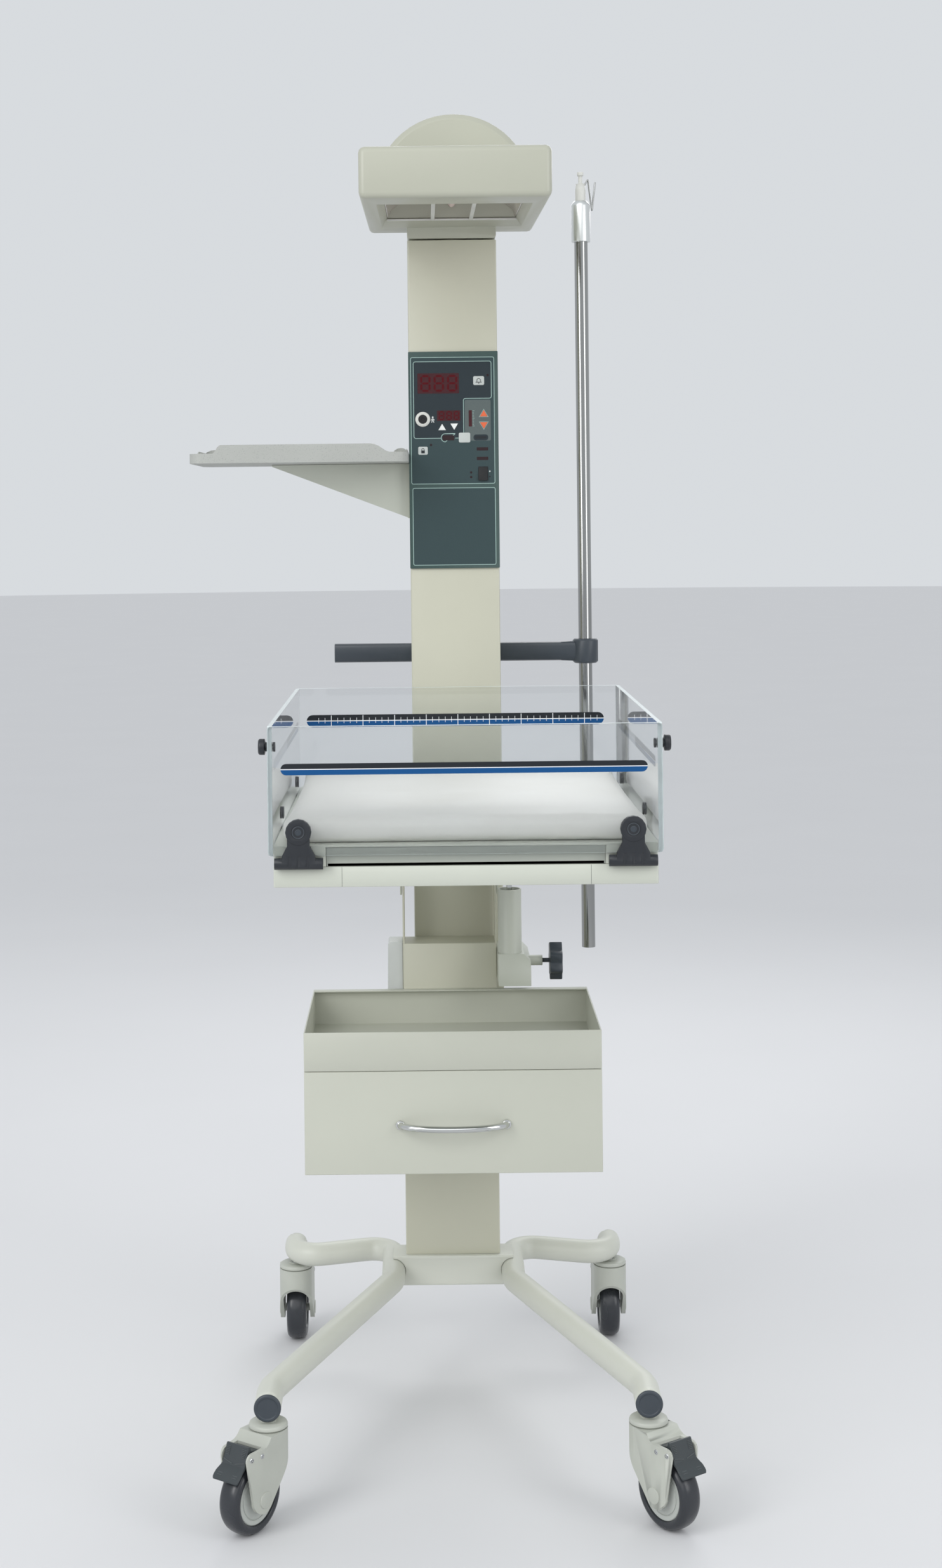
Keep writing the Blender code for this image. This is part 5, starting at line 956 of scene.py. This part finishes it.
# %% Turn the pole
POLE_RADIUS, SLEEVE_LENGTH, SLEEVE_EDGE, BORE_GAP = 0.0113, 0.069, 0.0008, 0.0003
pole_low, pole_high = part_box("infusion_pole")
inner_low, inner_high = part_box("pole_extension")
pole_x, pole_y = (inner_low.x + inner_high.x) / 2, (inner_low.y + inner_high.y) / 2
bore = (inner_high.x - inner_low.x) / 2 + BORE_GAP
wide = (pole_high.x - pole_low.x) / 2
sleeve_top = pole_high.z
step_z = sleeve_top - SLEEVE_LENGTH
pole_profile = [(bore, pole_low.z), (POLE_RADIUS, pole_low.z), (POLE_RADIUS, step_z),
                (wide - SLEEVE_EDGE, step_z), (wide, step_z + SLEEVE_EDGE),
                (wide, sleeve_top - 0.0080), (wide - SLEEVE_EDGE, sleeve_top - 0.0055),
                (bore + 0.0020, sleeve_top - 0.0005), (bore + 0.0010, sleeve_top),
                (bore, sleeve_top)]
pole_place = Matrix.Translation(((pole_low.x + pole_high.x) / 2, pole_y, 0)) @ UPRIGHT
# The tube takes the darkened steel, a painted dark reflection.
pole = new_piece("pole_tube", turned(pole_profile, 48, matrix=pole_place), steel_with_painted_dark_reflection,
                 body_of("infusion_pole"))
paint_where(pole, satin_sleeve, lambda face: face.center.z > step_z - 0.0001)
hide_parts("infusion_pole")
print("pole", round(pole_high.z - pole_low.z, 4), "m long, sleeve", SLEEVE_LENGTH)

# %% [markdown]
# ## Hook
# The hook for the infusion bags is one bent wire that hangs from a ring on the stud. A
# curve with a round bevel does what the wire bender does: it runs straight between the
# bends, and rounds each bend a little.

# %% Bend the hook
WIRE_RADIUS, WIRE_BEND, HOOK_RISE, RING_DROP = 0.0015, 0.0035, 0.0550, 0.0195


def bent_wire(name, points, finish, body):
    """Sweep a round wire along straight runs whose corners are bent."""
    path = [Vector(points[0])]
    for before, here, after in zip(points, points[1:], points[2:]):
        here = Vector(here)
        back = (Vector(before) - here).normalized()
        ahead = (Vector(after) - here).normalized()
        for step in range(9):
            t = step / 8
            path.append((here + back * WIRE_BEND) * (1 - t) ** 2 + here * 2 * t * (1 - t)
                        + (here + ahead * WIRE_BEND) * t ** 2)
    path.append(Vector(points[-1]))
    curve = bpy.data.curves.new(name, "CURVE")
    curve.dimensions = "3D"
    curve.bevel_depth = WIRE_RADIUS
    curve.bevel_resolution = 4
    curve.use_fill_caps = True
    spline = curve.splines.new("POLY")
    spline.points.add(len(path) - 1)
    for point, place in zip(spline.points, path):
        point.co = (*place, 1)
    holder = put(name, curve)
    depsgraph = bpy.context.evaluated_depsgraph_get()
    bm = bmesh.new()
    bm.from_mesh(bpy.data.meshes.new_from_object(holder.evaluated_get(depsgraph)))
    bpy.data.objects.remove(holder)
    bmesh.ops.remove_doubles(bm, verts=bm.verts, dist=SAME_CORNER)
    return new_piece(name, bm, finish, body)


peak_z = min(sleeve_top + HOOK_RISE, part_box("infusion_hook")[1].z)
hook_points = [(pole_x + aside, pole_y, height) for aside, height in
               ((0.0030, peak_z - 0.0160), (0.0128, peak_z + 0.0015),
                (0.0190, sleeve_top - 0.0170), (0.0250, peak_z - 0.0040))]
hook_body = body_of("infusion_hook")
# The wire takes the pole's darkened steel, a painted dark reflection.
hook = bent_wire("hook_wire", hook_points, steel_with_painted_dark_reflection, hook_body)
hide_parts("infusion_hook")
ring_place = Matrix.Translation((pole_x, pole_y, peak_z - RING_DROP)) @ UPRIGHT
hook_ring = turned([(0.0040, 0), (0.0058, 0), (0.0058, 0.0050), (0.0040, 0.0050)], 32,
                   matrix=ring_place)
new_piece("hook_ring", hook_ring, chrome, hook_body)
print("the hook's wire peaks at", round(peak_z, 4), "m")

# %% [markdown]
# ## Tray front and rail seams
# The cassette tray has a folded front with a bead along it, and two fine seams show where
# the frame's front rail was folded. They could be lines in the paint, but only a real edge
# catches the light. So each is a thin plate of its own, just proud of the sheet behind it.

# %% Fold the tray's front and score the seams
LIP_OUT, LIP_THICK, LIP_LOW, LIP_BELOW_DECK = 0.0011, 0.0012, 0.0004, 0.0030
BEAD_LOW, BEAD_HIGH, BEAD_PROUD, BEAD_DEPTH = 0.0078, 0.0090, 0.0002, 0.0012
SEAM_PLACES, SEAM_HALF, SEAM_TOP, SEAM_LOW = (-0.1605, 0.1620), 0.0002, 0.0005, 0.0258
SEAM_SUNK, SEAM_DEPTH = 0.0005, 0.00055
tray_low, tray_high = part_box("cassette_tray")
rail_low, rail_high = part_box("bassinet_frame")
deck_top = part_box("mattress_deck")[1].z
lip_left, lip_right = tray_low.x - LIP_OUT, tray_high.x + LIP_OUT
lip_outline = rectangle(lip_left, lip_right, tray_low.z + LIP_LOW, deck_top - LIP_BELOW_DECK)
bead_outline = rectangle(lip_left, lip_right, tray_low.z + BEAD_LOW, tray_low.z + BEAD_HIGH)
lip = plate(bmesh.new(), lip_outline, tray_low.y + LIP_THICK, LIP_THICK)
plate(lip, bead_outline, tray_low.y - BEAD_PROUD + BEAD_DEPTH, BEAD_DEPTH)
# The tray's front takes the tray's darker coat, which is painted shade.
new_piece("tray_front", lip, painted_shade_tray_coat, body_of("cassette_tray"))
seams = bmesh.new()
for x in SEAM_PLACES:
    seam_x = front_face.x + x
    seam_outline = rectangle(seam_x - SEAM_HALF, seam_x + SEAM_HALF, rail_high.z - SEAM_LOW,
                             rail_high.z - SEAM_TOP)
    plate(seams, seam_outline, rail_low.y + SEAM_SUNK, SEAM_DEPTH)
new_piece("rail_seams", seams, stripe_black, body_of("bassinet_frame"))
print("tray front", round(lip_right - lip_left, 4), "m wide")

# %% [markdown]
# ## Stripes on the clear panels
# The stripes are a black band over a blue one with a white hairline between, and their ends
# are round. An image could be laid on each panel, but plates stay sharp at any distance. The
# outline of the whole band is cut at two heights, which gives three plates that meet without
# a gap. The rear stripe also works as a ruler, so it gets white ticks.

# %% Cut a band into its three colours
INK, FINE_INK = 0.0002, 0.0001
FRONT_STRIPE = (-0.2384, 0.2360, 1.0414, 1.0562)
REAR_STRIPE = (-0.2389, 0.2307, 1.0431, 1.0622)
SIDE_STRIPE = (-0.285, 0.285, 1.0414, 1.0562)
RULE_SHARE, SAME_POINT = 0.035, 0.00002


def band_outline(left, right, bottom, top, low, high, steps=14):
    """The part between two heights of a band with round ends."""
    radius = (top - bottom) / 2
    middle = (top + bottom) / 2
    levels = [low + (high - low) * i / steps for i in range(steps + 1)]
    outline = []
    for end, side, climb in ((right - radius, 1, levels), (left + radius, -1, levels[::-1])):
        for level in climb:
            bulge = math.sqrt(max(radius ** 2 - (level - middle) ** 2, 0))
            outline.append((end + side * bulge, level))
    cleaned = [outline[0]]
    for point in outline[1:]:
        if math.dist(point, cleaned[-1]) > SAME_POINT:
            cleaned.append(point)
    if math.dist(cleaned[0], cleaned[-1]) < SAME_POINT:
        cleaned.pop()
    return cleaned


def facing_out(side):
    """A frame on a clear panel, whose -y looks out of the panel."""
    low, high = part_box(side + "_panel")
    if side in ("front", "rear"):
        return Matrix.Translation((front_face.x, low.y, 0))
    outer_x, outward = (low.x, -1) if side == "left" else (high.x, 1)
    return (Matrix.Translation((outer_x, (low.y + high.y) / 2, 0))
            @ Matrix.Rotation(outward * math.radians(90), 4, "Z"))


def stripe(side, left, right, bottom, top):
    rule = (top - bottom) * RULE_SHARE
    middle = (top + bottom) / 2
    for part, low, high, finish in (("black", middle + rule, top, stripe_black),
                                    ("white", middle - rule, middle + rule, stripe_white),
                                    ("blue", bottom, middle - rule, stripe_blue)):
        outline = band_outline(left, right, bottom, top, low, high)
        new_piece(side + "_stripe_" + part, plate(bmesh.new(), outline, 0, INK), finish,
                  body_of(side + "_panel"), facing_out(side))


stripe("front", *FRONT_STRIPE)
stripe("rear", *REAR_STRIPE)
stripe("left", *SIDE_STRIPE)
stripe("right", *SIDE_STRIPE)
print("printed 4 stripes")

# %% Add the ruler's ticks
TICK_GAP = 0.010
LONG_TICK, SHORT_TICK = (1.0440, 1.0612, 0.0005), (1.0490, 1.0575, 0.0003)
tick_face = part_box("rear_panel")[0].y - INK
ticks = bmesh.new()
for step in range(-22, 23):
    low, high, half = LONG_TICK if step % 5 == 0 else SHORT_TICK
    x = front_face.x + step * TICK_GAP
    plate(ticks, rectangle(x - half, x + half, low, high), tick_face, FINE_INK)
new_piece("ruler_ticks", ticks, stripe_white, body_of("rear_panel"))
print("ruled a tick every", TICK_GAP, "m")

# %% [markdown]
# ## Control panel
# The print on the panel is a set of thin rules, boxes and symbols. It could be an image, but
# shapes stay sharp and need no picture. So each is a plate a tenth of a millimetre proud of
# the film, and a rule is a ribbon of even width along a path. Places are given in
# millimetres from the panel's top middle, which is how one would measure the real print.

# %% Draw on the panel
panel_low, panel_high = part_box("control_panel")
panel_top, panel_face = panel_high.z, panel_low.y
panel_body = body_of("control_panel")


def on_panel(x, down):
    """Panel millimetres to scene x and z."""
    return front_face.x + x / 1000, panel_top - down / 1000


def rounded_path(corners, radius, closed=True, steps=5):
    """Round the corners of a path, as a pen with a template would."""
    points = []
    for i, corner in enumerate(corners):
        here = Vector(corner)
        if not closed and i in (0, len(corners) - 1):
            points.append(here)
            continue
        before = (Vector(corners[i - 1]) - here).normalized()
        after = (Vector(corners[(i + 1) % len(corners)]) - here).normalized()
        middle = here + (before + after) * radius
        for step in range(steps + 1):
            angle = math.radians(90 * step / steps)
            points.append(middle - after * radius * math.cos(angle)
                          - before * radius * math.sin(angle))
    return points


def ribbon(bm, path, stroke=0.9, closed=True, proud=FINE_INK):
    """A thin printed line of even width along a path in panel millimetres."""
    path = [Vector(point) for point in path]
    count = len(path)
    rings = []
    for i, point in enumerate(path):
        ahead = path[(i + 1) % count] - point if closed or i < count - 1 else point - path[i - 1]
        behind = point - path[i - 1] if closed or i > 0 else ahead
        heading = (ahead.normalized() + behind.normalized()).normalized()
        aside = Vector((-heading.y, heading.x))
        square = Vector((-ahead.normalized().y, ahead.normalized().x))
        aside = aside * (stroke / 2 / max(aside.dot(square), 0.6))
        (x0, z0), (x1, z1) = on_panel(*(point + aside)), on_panel(*(point - aside))
        top = panel_face - proud
        rings.append([bm.verts.new(spot) for spot in ((x0, panel_face, z0), (x0, top, z0),
                                                      (x1, top, z1), (x1, panel_face, z1))])
    for i in range(count if closed else count - 1):
        here, following = rings[i], rings[(i + 1) % count]
        for k in range(4):
            m = (k + 1) % 4
            bm.faces.new((here[k], here[m], following[m], following[k]))
    if not closed:
        bm.faces.new(rings[0])
        bm.faces.new(rings[-1])


def box_plate(bm, box, proud, radius):
    """A rounded box from left, right, top and bottom in panel millimetres."""
    outline = [on_panel(*point) for point in round_box(*box, radius, 3)]
    plate(bm, outline, panel_face, proud)


def field(name, finish, boxes, radius=2.5, proud=0.00004):
    """Flat printed areas, each a box in panel millimetres."""
    areas = bmesh.new()
    for box in boxes:
        box_plate(areas, box, proud, radius)
    new_piece(name, areas, finish, panel_body)


print("the panel's print starts at", [round(value, 4) for value in on_panel(0, 0)])

# %% [markdown]
# The film has two dark fields. On the upper one lie a darker stepped field round the
# displays and a grey one behind the scale.

# %% Print the fields
UPPER_FRAME, LOWER_FRAME = (-69.6, 67.0, 9.6, 216.9), (-67.9, 67.2, 223.9, 350.0)
SLATE_LEFT, SLATE_RIGHT, SLATE_TOP, SLATE_BOTTOM = -65.2, 62.5, 16.4, 142.1
STEP_X, STEP_DOWN, SLATE_ROUND, SLATE_INK = 16.5, 77.2, 3.4, 0.00006
field("panel_fields", panel_field, [UPPER_FRAME, LOWER_FRAME])
slate_path = rounded_path([(SLATE_LEFT, SLATE_TOP), (SLATE_RIGHT, SLATE_TOP),
                           (SLATE_RIGHT, STEP_DOWN), (STEP_X, STEP_DOWN),
                           (STEP_X, SLATE_BOTTOM), (SLATE_LEFT, SLATE_BOTTOM)], SLATE_ROUND)
slate_outline = [on_panel(*point) for point in slate_path]
new_piece("panel_slate_field", plate(bmesh.new(), slate_outline, panel_face, SLATE_INK),
          panel_slate, panel_body)
field("panel_grey_field", panel_grey, [(18.4, 61.0, 79.7, 146.8)], proud=SLATE_INK)
print("printed 4 fields")

# %% [markdown]
# Pale rules frame the fields. One follows the stepped field, a tab with a round end
# interrupts it, and eleven short ones make the scale beside the bar display. On the real
# print the tab has a square right end. Here a slanted run closes it, from its upper right
# corner to the round end.

# %% Rule the lines and the scale
TAB_LEFT, TAB_RIGHT, TAB_MIDDLE, TAB_ROUND, TAB_CORNER = -13.8, 2.3, 141.5, 6.7, 0.4
FRAME_ROUND = 2.6
SCALE_LEFT, SCALE_TOP, SCALE_GAP, SCALE_MARKS = 31.2, 97.6, 2.5, 11
rules = bmesh.new()
for box in (UPPER_FRAME, LOWER_FRAME):
    ribbon(rules, rounded_path(rectangle(*box), FRAME_ROUND))
ribbon(rules, rounded_path([(STEP_X, 133.2), (STEP_X, STEP_DOWN), (SLATE_RIGHT, STEP_DOWN),
                            (SLATE_RIGHT, SLATE_TOP), (SLATE_LEFT, SLATE_TOP),
                            (SLATE_LEFT, SLATE_BOTTOM), (-20.6, SLATE_BOTTOM)], SLATE_ROUND,
                           closed=False), closed=False)
ribbon(rules, [(2.6, SLATE_BOTTOM), (8.2, SLATE_BOTTOM)], closed=False)
tab_top = TAB_MIDDLE - TAB_ROUND
tab_corner = rounded_path([(TAB_RIGHT, tab_top), (TAB_RIGHT, TAB_MIDDLE + TAB_ROUND),
                           (TAB_LEFT, tab_top)], TAB_CORNER)[:6]
tab_end = arc_points((TAB_LEFT, TAB_MIDDLE), TAB_ROUND, 90, 270, 12)
ribbon(rules, tab_corner + tab_end + [(TAB_RIGHT - TAB_CORNER, tab_top)])
for index in range(SCALE_MARKS):
    down = SCALE_TOP + index * SCALE_GAP
    long = 3.4 if index % 5 == 0 else 2.3
    ribbon(rules, [(SCALE_LEFT, down), (SCALE_LEFT + long, down)], 0.5, closed=False)
new_piece("panel_rules", rules, panel_rule, panel_body)
print("ruled the frames and", SCALE_MARKS, "scale marks")

# %% [markdown]
# Each display is a thin dark red window, a little prouder than the print around it.

# %% Set the display windows
BIG_WINDOW, SMALL_WINDOW = (-58.5, 9.4, 35.6, 68.7), (-27.0, 11.3, 96.8, 113.5)
BAR_WINDOW = (25.0, 30.2, 96.8, 123.4)
WINDOW_PROUD = 0.0003
windows = bmesh.new()
for box in (BIG_WINDOW, SMALL_WINDOW, BAR_WINDOW):
    box_plate(windows, box, WINDOW_PROUD, 0.8)
new_piece("display_windows", windows, display_window, panel_body)
print("set 3 display windows")

# %% [markdown]
# The unlit digits still show as slightly paler segments. A font would bring its own shapes,
# so seven bars with pointed ends make one digit, and each bar is a six-cornered plate.


# %% Seven-segment digits
def segment(bm, x, down, length, width, upright):
    """One bar of a digit, with pointed ends."""
    half, tip = length / 2, width / 2
    along = [(-half, 0), (-half + tip, -tip), (half - tip, -tip), (half, 0), (half - tip, tip),
             (-half + tip, tip)]
    outline = [on_panel(x + b, down + a) if upright else on_panel(x + a, down + b)
               for a, b in along]
    plate(bm, outline, panel_face - WINDOW_PROUD, FINE_INK)


def seven_segments(bm, x, down, width, height):
    bar = width * 0.25
    for level in (-height / 2, 0, height / 2):
        segment(bm, x, down + level, width * 0.86, bar, False)
    for side in (-width / 2, width / 2):
        for level in (-height / 4, height / 4):
            segment(bm, x + side, down + level, height * 0.44, bar, True)


digits = bmesh.new()
for (left, _, top, bottom), first, gap, width, height in ((BIG_WINDOW, 13, 22, 13.5, 24),
                                                          (SMALL_WINDOW, 7.5, 12.2, 7.2, 12.5)):
    for index in range(3):
        seven_segments(digits, left + first + index * gap, (top + bottom) / 2, width, height)
new_piece("display_digits", digits, display_digit, panel_body)
print("set 2 rows of 3 digits")

# %% [markdown]
# The probe's socket is a turned white ring with a dark core. Beside it stands a small
# figure, made of a round head and straight limbs. The lamps are low plates, and none is lit.

# %% Symbols and the probe socket
SOCKET_RING = [(0.0122, 0), (0.0122, 0.0012), (0.0110, 0.0022), (0.0082, 0.0026),
               (0.0074, 0.0020), (0.0074, 0)]
SOCKET_CORE = [(0, 0), (0.0073, 0), (0.0073, 0.0014), (0.0068, 0.0018), (0.0030, 0.0018),
               (0.0028, 0.0006), (0, 0.0006)]
FIGURE_LIMBS = ((2.6, (-34.1, 109.0), (-34.1, 112.6)), (0.9, (-34.3, 109.6), (-37.0, 112.6)),
                (0.9, (-33.9, 109.6), (-31.2, 112.6)), (1.1, (-34.5, 112.2), (-36.0, 116.4)),
                (1.1, (-33.7, 112.2), (-32.2, 116.4)))


def dot(bm, x, down, radius, proud, steps=16):
    """A small round plate on the panel."""
    outline = [on_panel(x + radius * math.cos(math.tau * i / steps),
                        down - radius * math.sin(math.tau * i / steps)) for i in range(steps)]
    plate(bm, outline, panel_face, proud)


socket_x, socket_z = on_panel(-50.4, 110.9)
probe_place = (Matrix.Translation((socket_x, panel_face, socket_z))
               @ Matrix.Rotation(math.radians(-90), 4, "Z"))
new_piece("probe_socket_ring", turned(SOCKET_RING), white_plastic, panel_body, probe_place)
new_piece("probe_socket_core", turned(SOCKET_CORE, 40), black_plastic, panel_body, probe_place)

marks = bmesh.new()
dot(marks, -34.1, 107.6, 1.35, INK)
for stroke, *limb in FIGURE_LIMBS:
    ribbon(marks, limb, stroke, closed=False, proud=INK)
dot(marks, 58.6, 197.1, 1.1, INK)
new_piece("panel_symbols", marks, panel_white, panel_body)

lamps = bmesh.new()
for x, down in ((27.9, 198.8), (27.9, 206.4), (-37.4, 153.0), (56.6, 39.4)):
    dot(lamps, x, down, 1.9, 2 * INK)
for box in ((37.5, 56.3, 157.7, 163.0), (37.5, 56.3, 173.3, 178.6), (-18.0, 0.6, 137.6, 145.8)):
    box_plate(lamps, box, INK, 0.8)
dot(lamps, 58.6, 205.8, 1.1, INK)
new_piece("panel_lamps", lamps, lamp_off, panel_body)
field("mode_pill", panel_slate, [(32.4, 56.7, 136.6, 146.4)], 4.2, FINE_INK)
field("mode_pill_window", panel_dark, [(35.2, 53.9, 139.2, 143.6)], 0.6, INK)
field("switch_bezel", panel_dark, [(39.7, 56.0, 189.1, 211.8)], 1.2, INK)
print("set the socket, the symbols and the lamps")

# %% [markdown]
# A key's symbol rides on the key, so it moves when the key is pressed. Each is made of
# plates in millimetres from the key's middle. The rims round the orange keys stay on the
# panel: each side is the gap between two triangles that differ only in size.

# %% Symbols on the keys
RIM_OUTER, RIM_INNER = 1.27, 1.10


def key_mark(node, name, outlines):
    """Dark plates on a key's own face, in millimetres from its middle."""
    low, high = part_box(node)
    middle = (low + high) / 2
    symbol = bmesh.new()
    for outline in outlines:
        points = [(middle.x + x / 1000, middle.z + z / 1000) for x, z in outline]
        plate(symbol, points, low.y, INK)
    new_piece(name, symbol, panel_dark, body_of(node))


def arch_outline(outer, inner, foot, top):
    """A bow of even width that stands on two feet."""
    bow = arc_points((0, top), outer, 0, 180, 10)
    hole = arc_points((0, top), inner, 180, 0, 10)
    return [(outer, foot)] + bow + [(-outer, foot), (-inner, foot)] + hole + [(inner, foot)]


rims = bmesh.new()
for word, up in (("up", 1), ("down", -1)):
    low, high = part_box("output_" + word + "_key")
    middle = (low + high) / 2
    half_x, half_z = (high.x - low.x) / 2, up * (high.z - low.z) / 2
    heart = Vector((middle.x, middle.z - half_z / 3))
    rays = [Vector((middle.x + x * half_x, middle.z + z * half_z)) - heart
            for x, z in ((-1, -1), (1, -1), (0, 1))]
    for first, second in zip(rays, rays[1:] + rays[:1]):
        plate(rims, [heart + first * RIM_OUTER, heart + second * RIM_OUTER,
                     heart + second * RIM_INNER, heart + first * RIM_INNER], panel_face, INK)
new_piece("output_key_rims", rims, panel_rule, panel_body)
key_mark("lock_key", "padlock", [rectangle(-2.9, 2.9, -4.2, 0.4),
                                 arch_outline(2.3, 1.4, 0.4, 2.0)])
key_mark("mute_key", "bell", [arch_outline(3.4, 2.5, -2.0, 0.4),
                              rectangle(-5.0, 5.0, -3.2, -2.2),
                              rectangle(-1.1, 1.1, -4.6, -3.6)])
print("printed the symbols on the keys")

# %% [markdown]
# ## Mattress
# The mattress is a foam slab in a welded cover. Foam pushes the cover out, so the top is
# slightly crowned and the long sides pull in between the corners. It could be sculpted, but
# cloth finds this shape by itself. The CAD cushion is remeshed into small even faces, a
# short cloth run with a little air pressure lets the cover settle, and how far a point may
# move is capped, so that it still fits its deck.

# %% Let the cover settle
VOXEL, START_SHARE = 0.006, 0.990
CLOTH_FRAMES, MOVE_LIMIT, CROWN_LIMIT = 14, 0.004, 0.004
TOP_SHARE, WRINKLE, FINE_WRINKLE = 0.6, 0.0008, 0.0003
mattress_low, mattress_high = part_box("mattress")


def evaluated_copy(piece):
    depsgraph = bpy.context.evaluated_depsgraph_get()
    return bpy.data.meshes.new_from_object(piece.evaluated_get(depsgraph))


cover = put("mattress_cover", nodes["mattress"].data.copy())
remesh = cover.modifiers.new("even faces", "REMESH")
remesh.mode = "VOXEL"
remesh.voxel_size = VOXEL
cover.data = evaluated_copy(cover)
cover.modifiers.clear()
middle = (mattress_low + mattress_high) / 2
for vertex in cover.data.vertices:
    for axis in (0, 1):
        vertex.co[axis] = middle[axis] + (vertex.co[axis] - middle[axis]) * START_SHARE
rest_places = [vertex.co.copy() for vertex in cover.data.vertices]
cloth = cover.modifiers.new("cover", "CLOTH")
cloth.settings.quality = 5
cloth.settings.use_pressure = True
cloth.settings.uniform_pressure_force = 3
cloth.settings.effector_weights.gravity = 0
cloth.settings.tension_stiffness = 30
cloth.settings.shear_stiffness = 15
for step in range(1, CLOTH_FRAMES + 1):
    bpy.context.scene.frame_set(step)
settled = evaluated_copy(cover)
cover.modifiers.clear()
cover.data = settled
bpy.context.scene.frame_set(1)
thickness = mattress_high.z - mattress_low.z
for vertex, rest in zip(cover.data.vertices, rest_places):
    moved = vertex.co - rest
    if moved.length > MOVE_LIMIT:
        vertex.co = rest + moved.normalized() * MOVE_LIMIT
    wrinkle = noise.noise(Vector((vertex.co.x * 7, vertex.co.y * 9, 0.3)))
    fine = noise.noise(Vector((vertex.co.x * 38, vertex.co.y * 22, 1.7)))
    if (vertex.co.z - mattress_low.z) / thickness > TOP_SHARE:
        vertex.co.z += WRINKLE * wrinkle + FINE_WRINKLE * fine
    vertex.co.z = min(max(vertex.co.z, mattress_low.z), mattress_high.z + CROWN_LIMIT)
cover.data.shade_smooth()
print("mattress cover", [round(value, 4) for value in cover.dimensions])

# %% [markdown]
# The cover is a matt vinyl of a warm white. It is blotched by use, so a broad noise tints
# its colour and its gloss, and a fine weave bumps it.

# %% Cover material
vinyl = Finish("mattress_vinyl", (0.80, 0.79, 0.75), Roughness=0.6)
blotch = vinyl.grain(0.09, 4)
vinyl.drive(Base_Color=vinyl.blend(blotch, (0.76, 0.745, 0.70), (0.86, 0.855, 0.82)))
weave = vinyl.grain(0.0012, 2)
vinyl.drive(Roughness=0.50 + blotch * 0.15)
vinyl.drive(Normal=vinyl.bump(weave, 0.00012, 0.6))
cover.data.materials.clear()
cover.data.materials.append(vinyl.material)
smooth = cover.modifiers.new("fine", "SUBSURF")
smooth.levels = smooth.render_levels = 1
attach(cover, body_of("mattress"))
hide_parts("mattress")
print("covered", len(cover.data.polygons), "faces with vinyl")

# %% [markdown]
# ## Floor and light
# The stage is a plain pale floor under a pale, even world, as in a studio with white walls.
# A broad soft sun gives the floor its weak shadow. Two large soft lamps stand in front, to
# the left and the right, and one behind lifts the edges off the background.

# %% Build the floor and the world
FLOOR_RADIUS, FLOOR_DROP, WORLD_STRENGTH = 40, 0.0002, 0.88
floor_bm = bmesh.new()
bmesh.ops.create_circle(floor_bm, cap_ends=True, radius=FLOOR_RADIUS, segments=96)
floor = put("studio_floor", finished_mesh("studio_floor", floor_bm))
floor.location.z = -FLOOR_DROP
floor.data.materials.append(mottled("studio_paper", (0.66, 0.66, 0.67), 0.5, (0.65, 0.65, 0.66),
                                    (0.67, 0.67, 0.68), Roughness=0.9))

world = bpy.data.worlds.new("studio")
world.use_nodes = True
world.node_tree.nodes["Background"].inputs["Color"].default_value = (0.78, 0.81, 0.84, 1)
world.node_tree.nodes["Background"].inputs["Strength"].default_value = WORLD_STRENGTH
bpy.context.scene.world = world
print("laid the floor", FLOOR_DROP, "m below the wheels")


# %% Hang the lamps
def soft_lamp(name, place, aim, size, power):
    light = bpy.data.lights.new(name, "AREA")
    light.shape = "RECTANGLE"
    light.size, light.size_y = size
    light.energy = power
    lamp = put(name, light)
    lamp.location = place
    lamp.rotation_euler = (aim - place).to_track_quat("-Z", "Y").to_euler()


sky = bpy.data.lights.new("soft_sky", "SUN")
sky.energy = 0.75
sky.angle = math.radians(60)
put("soft_sky", sky).rotation_euler = (math.radians(48), math.radians(-18), 0)
soft_lamp("key_lamp", at(-2.3, -2.6, 2.3), at(0, -0.2, 1.0), (1.2, 2.4), 38)
soft_lamp("fill_lamp", at(2.4, -2.4, 1.9), at(0, -0.2, 1.0), (1.2, 2.4), 24)
soft_lamp("back_lamp", at(0.6, 2.6, 2.8), at(0, 0, 1.2), (2.0, 1.2), 30)
bpy.context.scene.view_settings.view_transform = "Standard"
print("hung", len(bpy.data.lights), "lamps")

# %% Take the sizes of the solids to finish
low, high = cad_bounds
